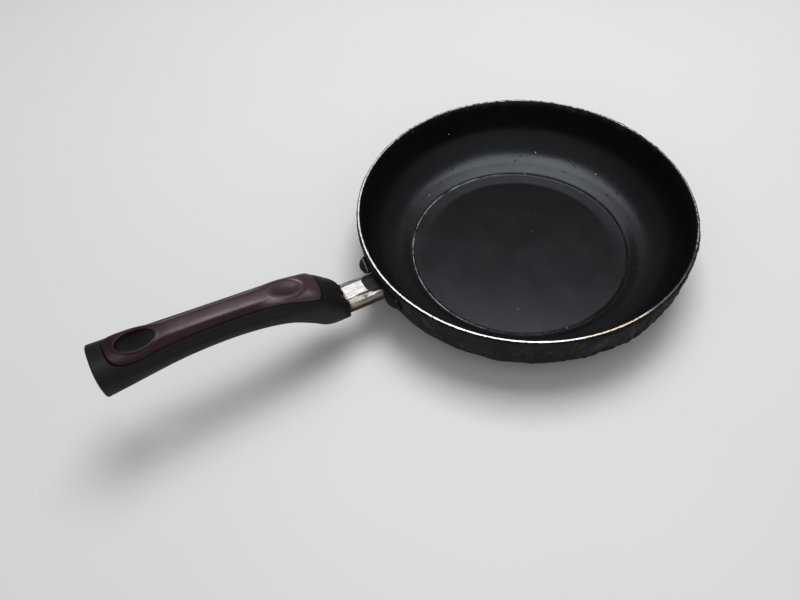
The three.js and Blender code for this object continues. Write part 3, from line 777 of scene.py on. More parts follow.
def makeInlay():
    # polar grid from the spine out to the edge, down the side and back along the underside; the
    # top is the grip's crown with a rounded edge, a crease, the thumb dimple and the hole's lip
    count = 860
    outline = inlayOutline(0, count)
    nearEdge = 0.34  # from this share on the rows draw closer together
    shares = nearEdge * (1 - np.linspace(0, 1, 30)[1:]) ** 1.25
    shares = np.concatenate([np.linspace(1, nearEdge, 34), shares])
    rings, reach = insetRings(outline, shares)
    along, y = rings[..., 0], rings[..., 1]
    edge = shares[:, None] * reach
    top = crownHeight(along, y, inlay["proud"], 0.3)
    roundness = np.clip(1 - edge / inlay["edgeRound"], 0, 1)
    top -= inlay["edgeRound"] * (1 - np.sqrt(np.clip(1 - roundness ** 2, 0, 1)))
    # outside the crease the band falls away, and the crease itself is a fine raised line
    ends = smoothStep(along, 40, 64)
    inner = inlay["crease"] + inlay["creaseSpread"] * smoothStep(along, 112, 132)
    band = np.clip((np.abs(y) - inner) / inlay["bandWidth"], 0, 1)
    top -= inlay["bandDrop"] * band ** 0.9 * ends
    line = np.exp(-((np.abs(y) - inner) / 0.4) ** 2)
    top += inlay["creaseLift"] * line * ends * smoothStep(along, 124, 114)
    # thumb dimple: a bowl inside an oval, with a fine ridge round its front
    dx = (along - inlay["dimpleAlong"]) / (inlay["dimpleLength"] / 2)
    dy = y / (inlay["dimpleWidth"] / 2)
    oval = np.sqrt(dx ** 2 + dy ** 2)
    top -= inlay["dimpleDepth"] * smoothStep(oval, 1.0, 0.15)
    frontness = smoothStep(-dx + 0.35 * dy, -0.5, 0.8)
    ridge = np.exp(-((oval - 1.04) / 0.07) ** 2)
    top += inlay["ridgeLift"] * ridge * (0.15 + 0.85 * frontness)
    # lip: a rounded bead, nearly level across the grip, so that it stands out at the sides
    away = holeDistance(along, y)
    bead = np.clip(1 - ((away - hole["lipWidth"] / 2) / (hole["lipWidth"] / 2)) ** 2, 0, 1)
    level = crownHeight(along, 0.76 * y, inlay["proud"], 0.3) + hole["lipHeight"]
    top += (level - top) * bead ** 0.5
    top -= hole["lipDip"] * smoothStep(away, 0.5, -0.5)
    rimPlan = rings[-1]
    topEdge = top[-1]
    bottom = crownHeight(rimPlan[:, 0], rimPlan[:, 1], -inlay["depth"], 0.0)
    rows = [overGrip(rings, top)]
    for share in np.linspace(0, 1, 7)[1:]:
        height = topEdge + (np.minimum(bottom, topEdge - 0.4) - topEdge) * share
        rows.append(overGrip(rimPlan, height)[None])
    under, _ = insetRings(outline, np.linspace(0, 1, 16)[1:])
    floor = crownHeight(under[..., 0], under[..., 1], -inlay["depth"], 0.0)
    floor = np.minimum(floor, crownHeight(under[..., 0], under[..., 1], inlay["proud"], 0.3) - 2.9)
    rows.append(overGrip(under, floor))
    piece = gridPiece("grip_inlay_pad", turned(np.concatenate(rows)), False, True, 44)
    cutWith(piece, [holeCutter("inlay_hole", 0.0, hole["lipReach"], hole["lipShift"])], 44)
    return piece


def holeCutter(name, flare, inset=0.0, shift=0.0):
    # upright elliptical plug, flared where it leaves the grip's underside
    turn = (np.arange(144) / 144)[None, :] * 2 * math.pi
    _, z, halfHeight, _, _ = gripAt(np.array(hole["along"]))
    low = float(z - halfHeight)
    stops = np.array([
        (0.0, low - 9), (1.0, low - 9), (1.0, low - 1), (1.0, low + 0.3), (0.45, low + 0.9),
        (0.12, low + 1.7), (0.0, low + 2.6), (0.0, low + 60), (-1.0, low + 60),
    ])
    rows = []
    for k, (spread, height) in enumerate(stops):
        scale = 0.0 if k in (0, len(stops) - 1) else 1.0
        grow = spread * flare if scale else 0.0
        x = (hole["length"] / 2 - inset + grow) * np.cos(turn) * scale
        x = hole["along"] + shift + gripStart + x
        y = (hole["width"] / 2 - inset + grow) * np.sin(turn) * scale
        rows.append(np.stack([x[0], y[0], np.full(turn.shape[1], height)], axis=-1))
    return gridPiece(name, turned(np.array(rows)), False, True, 30)


def pocketCutter():
    # the inlay's outline grown by the gap, with a small chamfer where it opens at the top
    outline = inlayOutline(gap, 700)
    crown = crownHeight(outline[:, 0], outline[:, 1], 0, 0.0)
    steps = (
        (0.0, crown - inlay["depth"] - gap), (0.0, crown - 0.55), (0.55, crown + 0.1),
        (0.6, crown + 4), (0.6, crown * 0 + 130),
    )
    under, _ = insetRings(outline, np.linspace(1, 0, 14)[:-1])
    floor = crownHeight(under[..., 0], under[..., 1], -inlay["depth"] - gap, 0.0)
    floor = np.minimum(floor, crownHeight(under[..., 0], under[..., 1], inlay["proud"], 0.3) - 3.3)
    rows = [overGrip(under, floor)]
    for grow, height in steps:
        rows.append(overGrip(inlayOutline(gap + grow, 700), height)[None])
    lid = rows[-1][0].copy()
    lid[:, 1] = 0
    lid[:, 0] = gripStart + np.clip(lid[:, 0] - gripStart, *inlaySpine())
    rows.append(lid[None])
    return gridPiece("pocket_cutter", turned(np.concatenate(rows)), False, True, 30)


screw = {"tangReach": 46.0, "headDiameter": 8.6, "headHeight": 3.2, "washer": 1.2, "recess": 1.0}


def screwCutter():
    # plain cylinder on the screw's line, from its seat out into the hanging hole
    s0, z0 = (float(v) for v in gripAt(screw["tangReach"])[:2])
    s1, z1 = (float(v) for v in gripAt(hole["along"] - hole["length"] / 2)[:2])
    run = math.hypot(s1 - s0, z1 - z0)
    way = np.array([(s1 - s0) / run, 0.0, (z1 - z0) / run])
    side = np.array([0.0, 1.0, 0.0])
    rise = np.cross(way, side)
    seat = run - screw["recess"] - screw["washer"] - screw["headHeight"]
    radius = screw["headDiameter"] / 2 + gap
    turn = (np.arange(48) / 48 * 2 * math.pi)[:, None]
    rows = []
    for scale, place in ((0, seat), (1, seat), (1, run + 5), (0, run + 5)):
        middle = np.array([s0, 0.0, z0]) + way * place
        rows.append(middle + radius * scale * (np.cos(turn) * side + np.sin(turn) * rise))
    return gridPiece("screw_cutter", turned(np.array(rows)), False, True, 30)


def makeGripBody():
    piece = makeGripLoft()
    seat = makeBar("seat_cutter", -gap, neck["ferruleLength"] + 2 + gap, -gap)
    cutWith(piece, [seat, pocketCutter(), screwCutter(), holeCutter("body_hole", 1.4)], 40)
    return piece


# Shader nodes

def feed(tree, node, inputs):
    # each input takes a link from another node, or a plain value
    for key, value in inputs.items():
        if isinstance(value, bpy.types.NodeSocket):
            tree.links.new(value, node.inputs[key])
        else:
            node.inputs[key].default_value = value


def addNode(tree, kind, inputs=None, **settings):
    made = tree.nodes.new("ShaderNode" + kind)
    for key, value in settings.items():
        setattr(made, key, value)
    feed(tree, made, inputs or {})
    return made


def calc(tree, operation, a, b=0.0, clamp=False):
    made = addNode(tree, "Math", {0: a, 1: b}, operation=operation)
    made.use_clamp = clamp
    return made.outputs[0]


def times(tree, a, b, clamp=False):
    return calc(tree, "MULTIPLY", a, b, clamp)


def plus(tree, a, b, clamp=False):
    return calc(tree, "ADD", a, b, clamp)


def minus(tree, a, b, clamp=False):
    return calc(tree, "SUBTRACT", a, b, clamp)


def larger(tree, a, b):
    return calc(tree, "MAXIMUM", a, b)


def apart(tree, a, b):
    # how far two values lie apart
    return calc(tree, "ABSOLUTE", minus(tree, a, b))


def ranged(tree, value, low, high, toLow=0.0, toHigh=1.0):
    inputs = {"Value": value, "From Min": low, "From Max": high, "To Min": toLow, "To Max": toHigh}
    return addNode(tree, "MapRange", inputs, interpolation_type="SMOOTHSTEP").outputs[0]


def mixColour(tree, factor, a, b):
    return addNode(tree, "Mix", {0: factor, 6: a, 7: b}, data_type="RGBA").outputs[2]


def mixValue(tree, factor, a, b):
    return addNode(tree, "Mix", {0: factor, 2: a, 3: b}, data_type="FLOAT").outputs[0]


def noise(tree, vector, scale, detail=4.0, rough=0.55):
    inputs = {"Vector": vector, "Scale": scale, "Detail": detail, "Roughness": rough}
    return addNode(tree, "TexNoise", inputs).outputs["Fac"]


def groupTree(name, inputs, outputs):
    tree = bpy.data.node_groups.new(name, "ShaderNodeTree")
    for socketName, kind, value in inputs:
        kind = "NodeSocket" + kind
        socket = tree.interface.new_socket(socketName, in_out="INPUT", socket_type=kind)
        if value is not None:
            socket.default_value = value
    for socketName, kind in outputs:
        tree.interface.new_socket(socketName, in_out="OUTPUT", socket_type="NodeSocket" + kind)
    return tree, tree.nodes.new("NodeGroupInput"), tree.nodes.new("NodeGroupOutput")


def patchGroup():
    # patches of wear, soot or stain: cloudy noise broken up by a finer one, cut off softly
    tree, given, out = groupTree("patches", [
        ("Vector", "Vector", None), ("Scale", "Float", 40.0), ("Cover", "Float", 0.5),
        ("Softness", "Float", 0.1), ("Offset", "Float", 0.0),
    ], [("Mask", "Float")])
    shift = addNode(tree, "CombineXYZ", {0: given.outputs["Offset"], 1: given.outputs["Offset"]})
    moved = {0: given.outputs["Vector"], 1: shift.outputs[0]}
    place = addNode(tree, "VectorMath", moved, operation="ADD").outputs[0]
    cloudy = noise(tree, place, given.outputs["Scale"], 5.0, 0.6)
    fine = noise(tree, place, times(tree, given.outputs["Scale"], 6.0), 3.0, 0.6)
    both = plus(tree, times(tree, cloudy, 0.72), times(tree, fine, 0.28))
    edge = minus(tree, 0.72, times(tree, given.outputs["Cover"], 0.44))
    low = minus(tree, edge, given.outputs["Softness"])
    high = plus(tree, edge, given.outputs["Softness"])
    tree.links.new(ranged(tree, both, low, high), out.inputs["Mask"])
    return tree


def speckGroup():
    # scattered specks: a few cells of a cell pattern are picked by their random colour
    tree, given, out = groupTree("specks", [
        ("Vector", "Vector", None), ("Scale", "Float", 300.0), ("Share", "Float", 0.1),
        ("Size", "Float", 0.25),
    ], [("Mask", "Float")])
    inputs = {"Vector": given.outputs["Vector"], "Scale": given.outputs["Scale"]}
    cells = addNode(tree, "TexVoronoi", inputs)
    picked = addNode(tree, "SeparateColor", {0: cells.outputs["Color"]}).outputs[0]
    chosen = calc(tree, "LESS_THAN", picked, given.outputs["Share"])
    dot = calc(tree, "LESS_THAN", cells.outputs["Distance"], given.outputs["Size"])
    tree.links.new(times(tree, chosen, dot), out.inputs["Mask"])
    return tree


def grainGroup():
    # fine uneven skin for bumps: two noises and a soft cell pattern
    tree, given, out = groupTree("skinGrain", [
        ("Vector", "Vector", None), ("Scale", "Float", 900.0), ("Coarse", "Float", 0.4),
    ], [("Height", "Float")])
    vector = given.outputs["Vector"]
    fine = noise(tree, vector, given.outputs["Scale"], 2.0)
    wide = noise(tree, vector, times(tree, given.outputs["Scale"], 0.12), 3.0)
    cells = addNode(tree, "TexVoronoi", {"Vector": vector, "Scale": given.outputs["Scale"]},
                    feature="SMOOTH_F1").outputs["Distance"]
    height = plus(tree, times(tree, cells, 0.5), times(tree, fine, 0.6))
    wide = times(tree, wide, given.outputs["Coarse"])
    tree.links.new(plus(tree, height, wide), out.inputs["Height"])
    return tree


patches, specks, skinGrain = patchGroup(), speckGroup(), grainGroup()


def useGroup(tree, group, **inputs):
    return addNode(tree, "Group", inputs, node_tree=group).outputs[0]


def patched(tree, place, scale, cover, soft, shift=0.0):
    return useGroup(tree, patches, Vector=place, Scale=scale, Cover=cover, Softness=soft,
                    Offset=shift)


def startMaterial(name):
    material = bpy.data.materials.new(name)
    material.use_nodes = True
    tree = material.node_tree
    tree.nodes.clear()
    out = tree.nodes.new("ShaderNodeOutputMaterial")
    shader = tree.nodes.new("ShaderNodeBsdfPrincipled")
    tree.links.new(shader.outputs[0], out.inputs[0])
    place = addNode(tree, "TexCoord").outputs["Object"]
    return material, tree, shader, place


def setBump(tree, shader, height, strength, distance):
    bump = addNode(tree, "Bump", {"Height": height, "Strength": strength, "Distance": distance})
    tree.links.new(bump.outputs[0], shader.inputs["Normal"])


def roundPlace(tree, place):
    # the three coordinates and the distance from the dish's axis
    x, y, z = addNode(tree, "SeparateXYZ", {0: place}).outputs
    flat = addNode(tree, "CombineXYZ", {0: x, 1: y}).outputs[0]
    radius = addNode(tree, "VectorMath", {0: flat}, operation="LENGTH").outputs["Value"]
    return x, y, z, radius


def facing(tree, azimuth, degrees):
    # 1 on the side that lies at an azimuth, 0 on the opposite side
    wave = calc(tree, "COSINE", minus(tree, azimuth, math.radians(degrees)))
    return plus(tree, times(tree, wave, 0.5), 0.5)


dishLook = {
    "coat": (0.0040, 0.0041, 0.0047, 1),
    "coatFaded": (0.0064, 0.0066, 0.0075, 1),
    "metal": (0.80, 0.80, 0.79, 1),
    "metalToned": (0.60, 0.50, 0.34, 1),
    # painted shade: dark colour for the bare rim's metal where it lies in shade
    "metalInShade": (0.055, 0.062, 0.058, 1),
    "metalGreen": (0.46, 0.54, 0.49, 1),
    "bareUnder": (0.20, 0.19, 0.18, 1),
    "soot": (0.012, 0.010, 0.009, 1),
    "rimMiddle": 119.92,
    "sides": {  # azimuth in degrees, and how near to facing it an effect starts and is full
        "far": (60, 0.55, 0.96), "right": (-28, 0.86, 0.93), "toned": (-97, 0.984, 0.997),
        # dull: the side where the bare rim is painted in shade
        "dull": (-68, 0.966, 0.986), "left": (140, 0.42, 0.92),
    },
}


def dishMaterial():
    material, tree, shader, place = startMaterial("coated_dish")
    x, y, z, radius = roundPlace(tree, place)
    azimuth = calc(tree, "ARCTAN2", y, x)
    side = {name: ranged(tree, facing(tree, azimuth, degrees), low, high)
            for name, (degrees, low, high) in dishLook["sides"].items()}
    # bare rim: the top of the wall, with ragged edges
    ragged = minus(tree, noise(tree, place, 520, 4.0, 0.65), 0.5)
    rimOffset = apart(tree, radius, dishLook["rimMiddle"] * mm)
    rimOffset = plus(tree, rimOffset, times(tree, ragged, 0.0013))
    rimOffset = plus(tree, rimOffset, times(tree, side["right"], 0.00014))
    rimMask = ranged(tree, rimOffset, 0.00056, 0.00040)
    rimMask = times(tree, rimMask, ranged(tree, z, 0.0475, 0.0478))
    chipped = patched(tree, place, 130.0, cover=0.2, soft=0.02)
    burnt = patched(tree, place, 330.0, cover=0.46, soft=0.04, shift=3.1)
    lost = times(tree, burnt, plus(tree, side["far"], times(tree, side["right"], 0.8)))
    lost = larger(tree, lost, times(tree, chipped, 0.85))
    rimMask = times(tree, rimMask, minus(tree, 1.0, lost, True), True)
    # floor groove: a bright line broken up round the floor; on the left side it is a painted
    # highlight where the groove's wall catches the light, and small chips all round are bare metal
    # where the coating has gone
    offset = apart(tree, radius, dish["ringRadius"] * mm)
    lineBreakup = patched(tree, place, 120.0, cover=0.5, soft=0.12, shift=7.3)
    # painted highlight: the groove's line is made bright mostly on the left side
    grooveHighlightRate = plus(tree, times(tree, side["left"], 0.62), 0.05)
    line = ranged(tree, offset, 0.00052, 0.00018)
    chips = patched(tree, place, 420.0, cover=0.2, soft=0.02, shift=1.9)
    band = ranged(tree, offset, 0.0016, 0.0004)
    grooveWearAndHighlight = times(tree, line, times(tree, lineBreakup, grooveHighlightRate))
    grooveWearAndHighlight = larger(tree, grooveWearAndHighlight, times(tree, times(tree, band, chips), 0.8))
    inside = ranged(tree, radius, 0.1187, 0.1180)
    specksMask = useGroup(tree, specks, Vector=place, Scale=260.0, Share=0.012, Size=0.14)
    wallZone = ranged(tree, radius, 0.083, 0.095)
    specksMask = times(tree, specksMask, plus(tree, times(tree, wallZone, 0.6), 0.12))
    bareAndHighlight = larger(tree, rimMask, times(tree, grooveWearAndHighlight, inside))
    bareAndHighlight = larger(tree, bareAndHighlight, times(tree, specksMask, inside))
    # colours
    cloud = patched(tree, place, 22.0, cover=0.5, soft=0.3)
    coat = mixColour(tree, cloud, dishLook["coat"], dishLook["coatFaded"])
    toned = patched(tree, place, 60.0, cover=0.75, soft=0.2, shift=5.0)
    toned = times(tree, toned, side["toned"])
    metal = mixColour(tree, toned, dishLook["metal"], dishLook["metalToned"])
    # painted shade: the bare rim is painted nearly black on its right side
    rimShadeSide = larger(tree, times(tree, side["right"], 0.6), times(tree, side["dull"], 0.97))
    metal = mixColour(tree, rimShadeSide, metal, dishLook["metalInShade"])
    metal = mixColour(tree, times(tree, side["far"], 0.75), metal, dishLook["metalGreen"])
    underside = ranged(tree, z, 0.0010, 0.0006)
    sooty = patched(tree, place, 30.0, cover=0.62, soft=0.18, shift=2.0)
    below = mixColour(tree, sooty, dishLook["bareUnder"], dishLook["soot"])
    base = mixColour(tree, underside, coat, below)
    colour = mixColour(tree, bareAndHighlight, base, metal)
    undersideMetal = times(tree, underside, minus(tree, 1.0, sooty))
    scuffed = times(tree, bareAndHighlight, 0.35)  # a bruised edge scatters more than it mirrors
    # the coating is satin, a little shinier where a spatula has rubbed the floor
    rubbed = noise(tree, place, 35, 3.0)
    pits = useGroup(tree, specks, Vector=place, Scale=330.0, Share=0.07, Size=0.26)
    pits = times(tree, pits, wallZone)
    coatRough = ranged(tree, rubbed, 0.3, 0.7, 0.235, 0.285)
    coatRough = larger(tree, coatRough, times(tree, pits, 0.95))
    rough = mixValue(tree, bareAndHighlight, coatRough, 0.34)
    rough = mixValue(tree, underside, rough, 0.55)
    # fine sprayed skin and small pits on the wall; bare metal lies lower
    grain = useGroup(tree, skinGrain, Vector=place, Scale=1100.0, Coarse=0.5)
    height = minus(tree, grain, times(tree, pits, 1.6))
    height = minus(tree, height, times(tree, bareAndHighlight, 1.2))
    feed(tree, shader, {
        "Base Color": colour,
        "Metallic": larger(tree, scuffed, undersideMetal),
        "Roughness": rough,
        "Specular IOR Level": 0.22,
        "Specular Tint": (0.83, 0.90, 1.0, 1),
    })
    setBump(tree, shader, height, 0.4, 0.00016)
    return material


crustLook = {
    "deep": (0.0026, 0.0022, 0.0021, 1),
    "carbon": (0.0075, 0.0062, 0.0060, 1),
    "brown": (0.0165, 0.0105, 0.0090, 1),
    "ash": (0.032, 0.028, 0.026, 1),
}


def crustMaterial():
    material, tree, shader, place = startMaterial("burnt_carbon")
    big = noise(tree, place, 55, 6.0, 0.62)
    fine = noise(tree, place, 420, 5.0, 0.65)
    colour = mixColour(tree, ranged(tree, big, 0.35, 0.65), crustLook["deep"], crustLook["carbon"])
    brown = patched(tree, place, 70.0, cover=0.42, soft=0.12, shift=4.0)
    colour = mixColour(tree, times(tree, brown, 0.7), colour, crustLook["brown"])
    grit = ranged(tree, fine, 0.50, 0.62)
    colour = mixColour(tree, times(tree, grit, 0.6), colour, crustLook["brown"])
    ash = patched(tree, place, 420.0, cover=0.1, soft=0.06, shift=9.0)
    colour = mixColour(tree, times(tree, ash, 0.5), colour, crustLook["ash"])
    # tarry spots shine, the rest is dull
    tar = patched(tree, place, 120.0, cover=0.4, soft=0.08, shift=6.0)
    cells = addNode(tree, "TexVoronoi", {"Vector": place, "Scale": 650.0}).outputs["Distance"]
    height = plus(tree, times(tree, fine, 1.2), times(tree, cells, 0.8))
    feed(tree, shader, {
        "Base Color": colour,
        "Roughness": ranged(tree, tar, 0.0, 1.0, 0.85, 0.56),
        "Specular IOR Level": 0.22,
    })
    setBump(tree, shader, height, 0.9, 0.0006)
    return material


bracketLook = {
    "cast": (0.0065, 0.0052, 0.0054, 1),
    "castWorn": (0.0125, 0.0096, 0.0094, 1),
    # painted highlight: pale colour for the far lobe's top edge
    "lobeEdgeHighlight": (0.30, 0.30, 0.29, 1),
    "glint": (0.35, 0.33, 0.31, 1),
    "lobesFrom": 8.3,  # off the middle line
    "lobeEdgeHighlightRadius": 123.2,
}


def bracketMaterial():
    material, tree, shader, place = startMaterial("heated_casting")
    _, y, z, radius = roundPlace(tree, place)
    stain = patched(tree, place, 85.0, cover=0.5, soft=0.2, shift=1.0)
    colour = mixColour(tree, stain, bracketLook["cast"], bracketLook["castWorn"])
    # the lobes are burnt all over
    edge = bracketLook["lobesFrom"] * mm
    aside = ranged(tree, calc(tree, "ABSOLUTE", y), edge - 0.0005, edge + 0.0005)
    burnt = larger(tree, ranged(tree, radius, 0.1235, 0.1215), aside)
    carbon = patched(tree, place, 140.0, cover=0.6, soft=0.15, shift=3.0)
    carbon = plus(tree, times(tree, carbon, 0.5), 0.5)
    colour = mixColour(tree, times(tree, carbon, burnt), colour, crustLook["deep"])
    # painted highlight: a light line along the far lobe's top edge, where the edge catches the light
    lobeEdgeHighlight = ranged(tree, apart(tree, radius, bracketLook["lobeEdgeHighlightRadius"] * mm), 0.00034, 0.00018)
    lobeEdgeHighlight = times(tree, lobeEdgeHighlight, times(tree, ranged(tree, y, 0.0085, 0.0095),
                                             ranged(tree, z, 0.035, 0.037)))
    colour = mixColour(tree, times(tree, lobeEdgeHighlight, 0.8), colour, bracketLook["lobeEdgeHighlight"])
    glint = useGroup(tree, specks, Vector=place, Scale=420.0, Share=0.02, Size=0.2)
    colour = mixColour(tree, glint, colour, bracketLook["glint"])
    dull = ranged(tree, stain, 0.0, 1.0, 0.68, 0.55)
    grain = useGroup(tree, skinGrain, Vector=place, Scale=700.0, Coarse=1.2)
    scale = times(tree, noise(tree, place, 330, 5.0, 0.7), times(tree, burnt, 4.0))
    feed(tree, shader, {
        "Base Color": colour,
        "Roughness": plus(tree, dull, times(tree, burnt, 0.2)),
        "Specular IOR Level": 0.3,
        "Metallic": times(tree, glint, 0.9),
    })
    setBump(tree, shader, plus(tree, grain, scale), 0.7, 0.0003)
    return material


ferruleLook = {
    "steel": (0.64, 0.635, 0.625, 1),
    "heatTintAndReflection": (0.29, 0.24, 0.19, 1),
    "farFacetShadeGrey": (0.16, 0.16, 0.165, 1),
    "rust": (0.105, 0.028, 0.012, 1),
    "soot": (0.030, 0.020, 0.015, 1),
    "verdigris": (0.27, 0.33, 0.27, 1),
}


def ferruleMaterial():
    material, tree, shader, place = startMaterial("stained_steel")
    x, y, z, radius = roundPlace(tree, place)
    # lengthwise streaks: the noise is drawn out along the sleeve
    drawn = addNode(tree, "Mapping", {"Vector": place, "Scale": (0.16, 1.0, 1.0)}).outputs[0]
    streak = noise(tree, drawn, 640, 5.0, 0.6)
    # height over the sleeve's middle, with its tilt taken out, and distance from its middle line
    tilt = math.tan(neck["ferruleTilt"])
    rise = plus(tree, z, times(tree, x, tilt))
    rise = minus(tree, rise, (neck["height"] - tilt * ferruleStart) * mm)
    wide = calc(tree, "ABSOLUTE", y)
    side = ranged(tree, wide, 0.0050, 0.0056)
    # heat has browned the sides, and the top has stayed bright; the brown on the near side against
    # the bright top is partly a painted reflection
    heatTintAndReflection = patched(tree, drawn, 110.0, cover=0.75, soft=0.2)
    away = ranged(tree, y, 0.0048, 0.0054)  # painted shade: the far facet keeps little of the brown and is painted grey
    heatTintAndReflection = times(tree, plus(tree, times(tree, side, 0.94), 0.06), heatTintAndReflection)
    heatTintAndReflection = times(tree, heatTintAndReflection, minus(tree, 1.0, times(tree, away, 0.8)))
    colour = mixColour(tree, heatTintAndReflection, ferruleLook["steel"], ferruleLook["heatTintAndReflection"])
    colour = mixColour(tree, times(tree, away, 0.6), colour, ferruleLook["farFacetShadeGrey"])
    green = patched(tree, place, 150.0, cover=0.4, soft=0.12, shift=8.0)
    green = times(tree, times(tree, green, side), 0.55)
    colour = mixColour(tree, green, colour, ferruleLook["verdigris"])
    # rust: along the upper ridge, along the lower fold and at the end that goes into the grip
    ridge = ranged(tree, apart(tree, wide, 0.0058), 0.0010, 0.0003)
    ridge = times(tree, ridge, ranged(tree, rise, 0.0035, 0.0045))
    ridgeRust = patched(tree, drawn, 260.0, cover=0.64, soft=0.05, shift=2.5)
    fold = ranged(tree, calc(tree, "ABSOLUTE", plus(tree, rise, 0.0014)), 0.0022, 0.0006)
    fold = times(tree, fold, ranged(tree, wide, 0.0085, 0.0095))
    foldRust = patched(tree, drawn, 120.0, cover=0.78, soft=0.15, shift=4.5)
    hidden = (gripStart + 0.2) * mm
    ends = ranged(tree, radius, hidden - 0.0014, hidden)
    ends = larger(tree, ends, ranged(tree, radius, 0.1232, 0.1218))
    endRust = patched(tree, place, 260.0, cover=0.6, soft=0.1, shift=1.5)
    rust = larger(tree, times(tree, ridge, ridgeRust), times(tree, fold, foldRust))
    rust = larger(tree, rust, times(tree, ends, endRust))
    colour = mixColour(tree, rust, colour, ferruleLook["rust"])
    # painted shade, with some real soot: the lower facet is painted dark in the soot colour, and
    # patches vary it a little
    under = ranged(tree, rise, -0.0014, -0.0024)
    sooty = patched(tree, drawn, 130.0, cover=0.6, soft=0.2, shift=6.5)
    soot = times(tree, under, plus(tree, times(tree, sooty, 0.35), 0.65))
    streaks = times(tree, ranged(tree, streak, 0.535, 0.60), side)
    spots = useGroup(tree, specks, Vector=place, Scale=380.0, Share=0.05, Size=0.2)
    soot = larger(tree, soot, times(tree, larger(tree, spots, streaks), 0.7))
    colour = mixColour(tree, soot, colour, ferruleLook["soot"])
    rustSootAndShade = larger(tree, rust, soot)
    # years of scouring have left the steel scattering light, so it is only partly a mirror
    bright = minus(tree, 0.5, times(tree, heatTintAndReflection, 0.15))
    clean = ranged(tree, streak, 0.3, 0.7, 0.26, 0.42)
    clean = plus(tree, clean, times(tree, heatTintAndReflection, 0.14))
    height = plus(tree, streak, times(tree, rustSootAndShade, 0.8))
    feed(tree, shader, {
        "Base Color": colour,
        "Metallic": times(tree, bright, minus(tree, 1.0, rustSootAndShade)),
        "Roughness": plus(tree, clean, times(tree, rustSootAndShade, 0.4), True),
        "Specular IOR Level": ranged(tree, rustSootAndShade, 0.0, 1.0, 0.5, 0.12),
    })
    setBump(tree, shader, height, 0.45, 0.0003)
    return material


gripLook = {
    "body": (0.0046, 0.0044, 0.0043, 1),
    "bodyDusty": (0.0082, 0.0075, 0.0071, 1),
    "charred": (0.0045, 0.0040, 0.0038, 1),
    "charBrown": (0.024, 0.014, 0.010, 1),
    "pad": (0.0275, 0.0092, 0.0124, 1),
    "padWorn": (0.0365, 0.0142, 0.0190, 1),
    "padDark": (0.0100, 0.0034, 0.0043, 1),
}


def gripMaterial():
    material, tree, shader, place = startMaterial("phenolic_black")
    x = addNode(tree, "SeparateXYZ", {0: place}).outputs[0]
    cloud = patched(tree, place, 28.0, cover=0.5, soft=0.3)
    colour = mixColour(tree, cloud, gripLook["body"], gripLook["bodyDusty"])
    front = ranged(tree, x, -(gripStart + 9) * mm, -(gripStart + 1) * mm)
    char = patched(tree, place, 130.0, cover=0.62, soft=0.12, shift=2.0)
    char = times(tree, front, char)
    colour = mixColour(tree, char, colour, gripLook["charred"])
    crumbs = patched(tree, place, 260.0, cover=0.3, soft=0.06, shift=5.0)
    edge = ranged(tree, x, -(gripStart + 4) * mm, -(gripStart + 0.5) * mm)
    colour = mixColour(tree, times(tree, crumbs, edge), colour, gripLook["charBrown"])
    rough = ranged(tree, noise(tree, place, 60, 4.0), 0.3, 0.7, 0.40, 0.52)
    grain = useGroup(tree, skinGrain, Vector=place, Scale=1400.0, Coarse=0.6)
    burnt = times(tree, noise(tree, place, 500, 5.0, 0.7), times(tree, char, 5.0))
    feed(tree, shader, {
        "Base Color": colour,
        "Roughness": plus(tree, rough, times(tree, char, 0.28), True),
        "Specular IOR Level": 0.17,
    })
    setBump(tree, shader, plus(tree, grain, burnt), 0.35, 0.00014)
    return material


def padMaterial():
    material, tree, shader, place = startMaterial("maroon_soft")
    cloud = patched(tree, place, 20.0, cover=0.5, soft=0.3, shift=1.0)
    colour = mixColour(tree, cloud, gripLook["pad"], gripLook["padWorn"])
    grime = patched(tree, place, 75.0, cover=0.38, soft=0.2, shift=4.0)
    colour = mixColour(tree, times(tree, grime, 0.55), colour, gripLook["padDark"])
    x, y = addNode(tree, "SeparateXYZ", {0: place}).outputs[:2]
    back = ranged(tree, x, -0.250, -0.275)  # the end round the hanging hole is darker
    # painted shade: the bands outside the crease and the bowl for the thumb are darker too, as they
    # lie in shade
    crease = inlay["crease"] * mm
    band = ranged(tree, calc(tree, "ABSOLUTE", y), crease - 0.0003, crease + 0.0011)
    band = times(tree, band, ranged(tree, x, -(gripStart + 44) * mm, -(gripStart + 62) * mm))
    lengthwise = plus(tree, x, (gripStart + inlay["dimpleAlong"]) * mm)
    lengthwise = times(tree, lengthwise, 2 / inlay["dimpleLength"] / mm)
    crosswise = times(tree, y, 2 / inlay["dimpleWidth"] / mm)
    bowlShade = addNode(tree, "CombineXYZ", {0: lengthwise, 1: crosswise}).outputs[0]
    bowlShade = addNode(tree, "VectorMath", {0: bowlShade}, operation="LENGTH").outputs["Value"]
    darkEndAndShade = larger(tree, times(tree, back, 0.8), times(tree, band, 0.75))
    darkEndAndShade = larger(tree, darkEndAndShade, times(tree, ranged(tree, bowlShade, 1.0, 0.55), 0.4))
    colour = mixColour(tree, darkEndAndShade, colour, gripLook["padDark"])
    rough = ranged(tree, noise(tree, place, 45, 4.0), 0.3, 0.7, 0.30, 0.40)
    grain = useGroup(tree, skinGrain, Vector=place, Scale=1700.0, Coarse=0.8)
    feed(tree, shader, {
        "Base Color": colour,
        "Roughness": plus(tree, rough, times(tree, grime, 0.12), True),
        "Specular IOR Level": ranged(tree, darkEndAndShade, 0.0, 0.75, 0.58, 0.22),
        "Specular Tint": (0.98, 0.87, 0.98, 1),
    })
    setBump(tree, shader, grain, 0.25, 0.0001)
    return material


platedLook = {"zinc": (0.58, 0.58, 0.56, 1), "stained": (0.30, 0.26, 0.20, 1)}


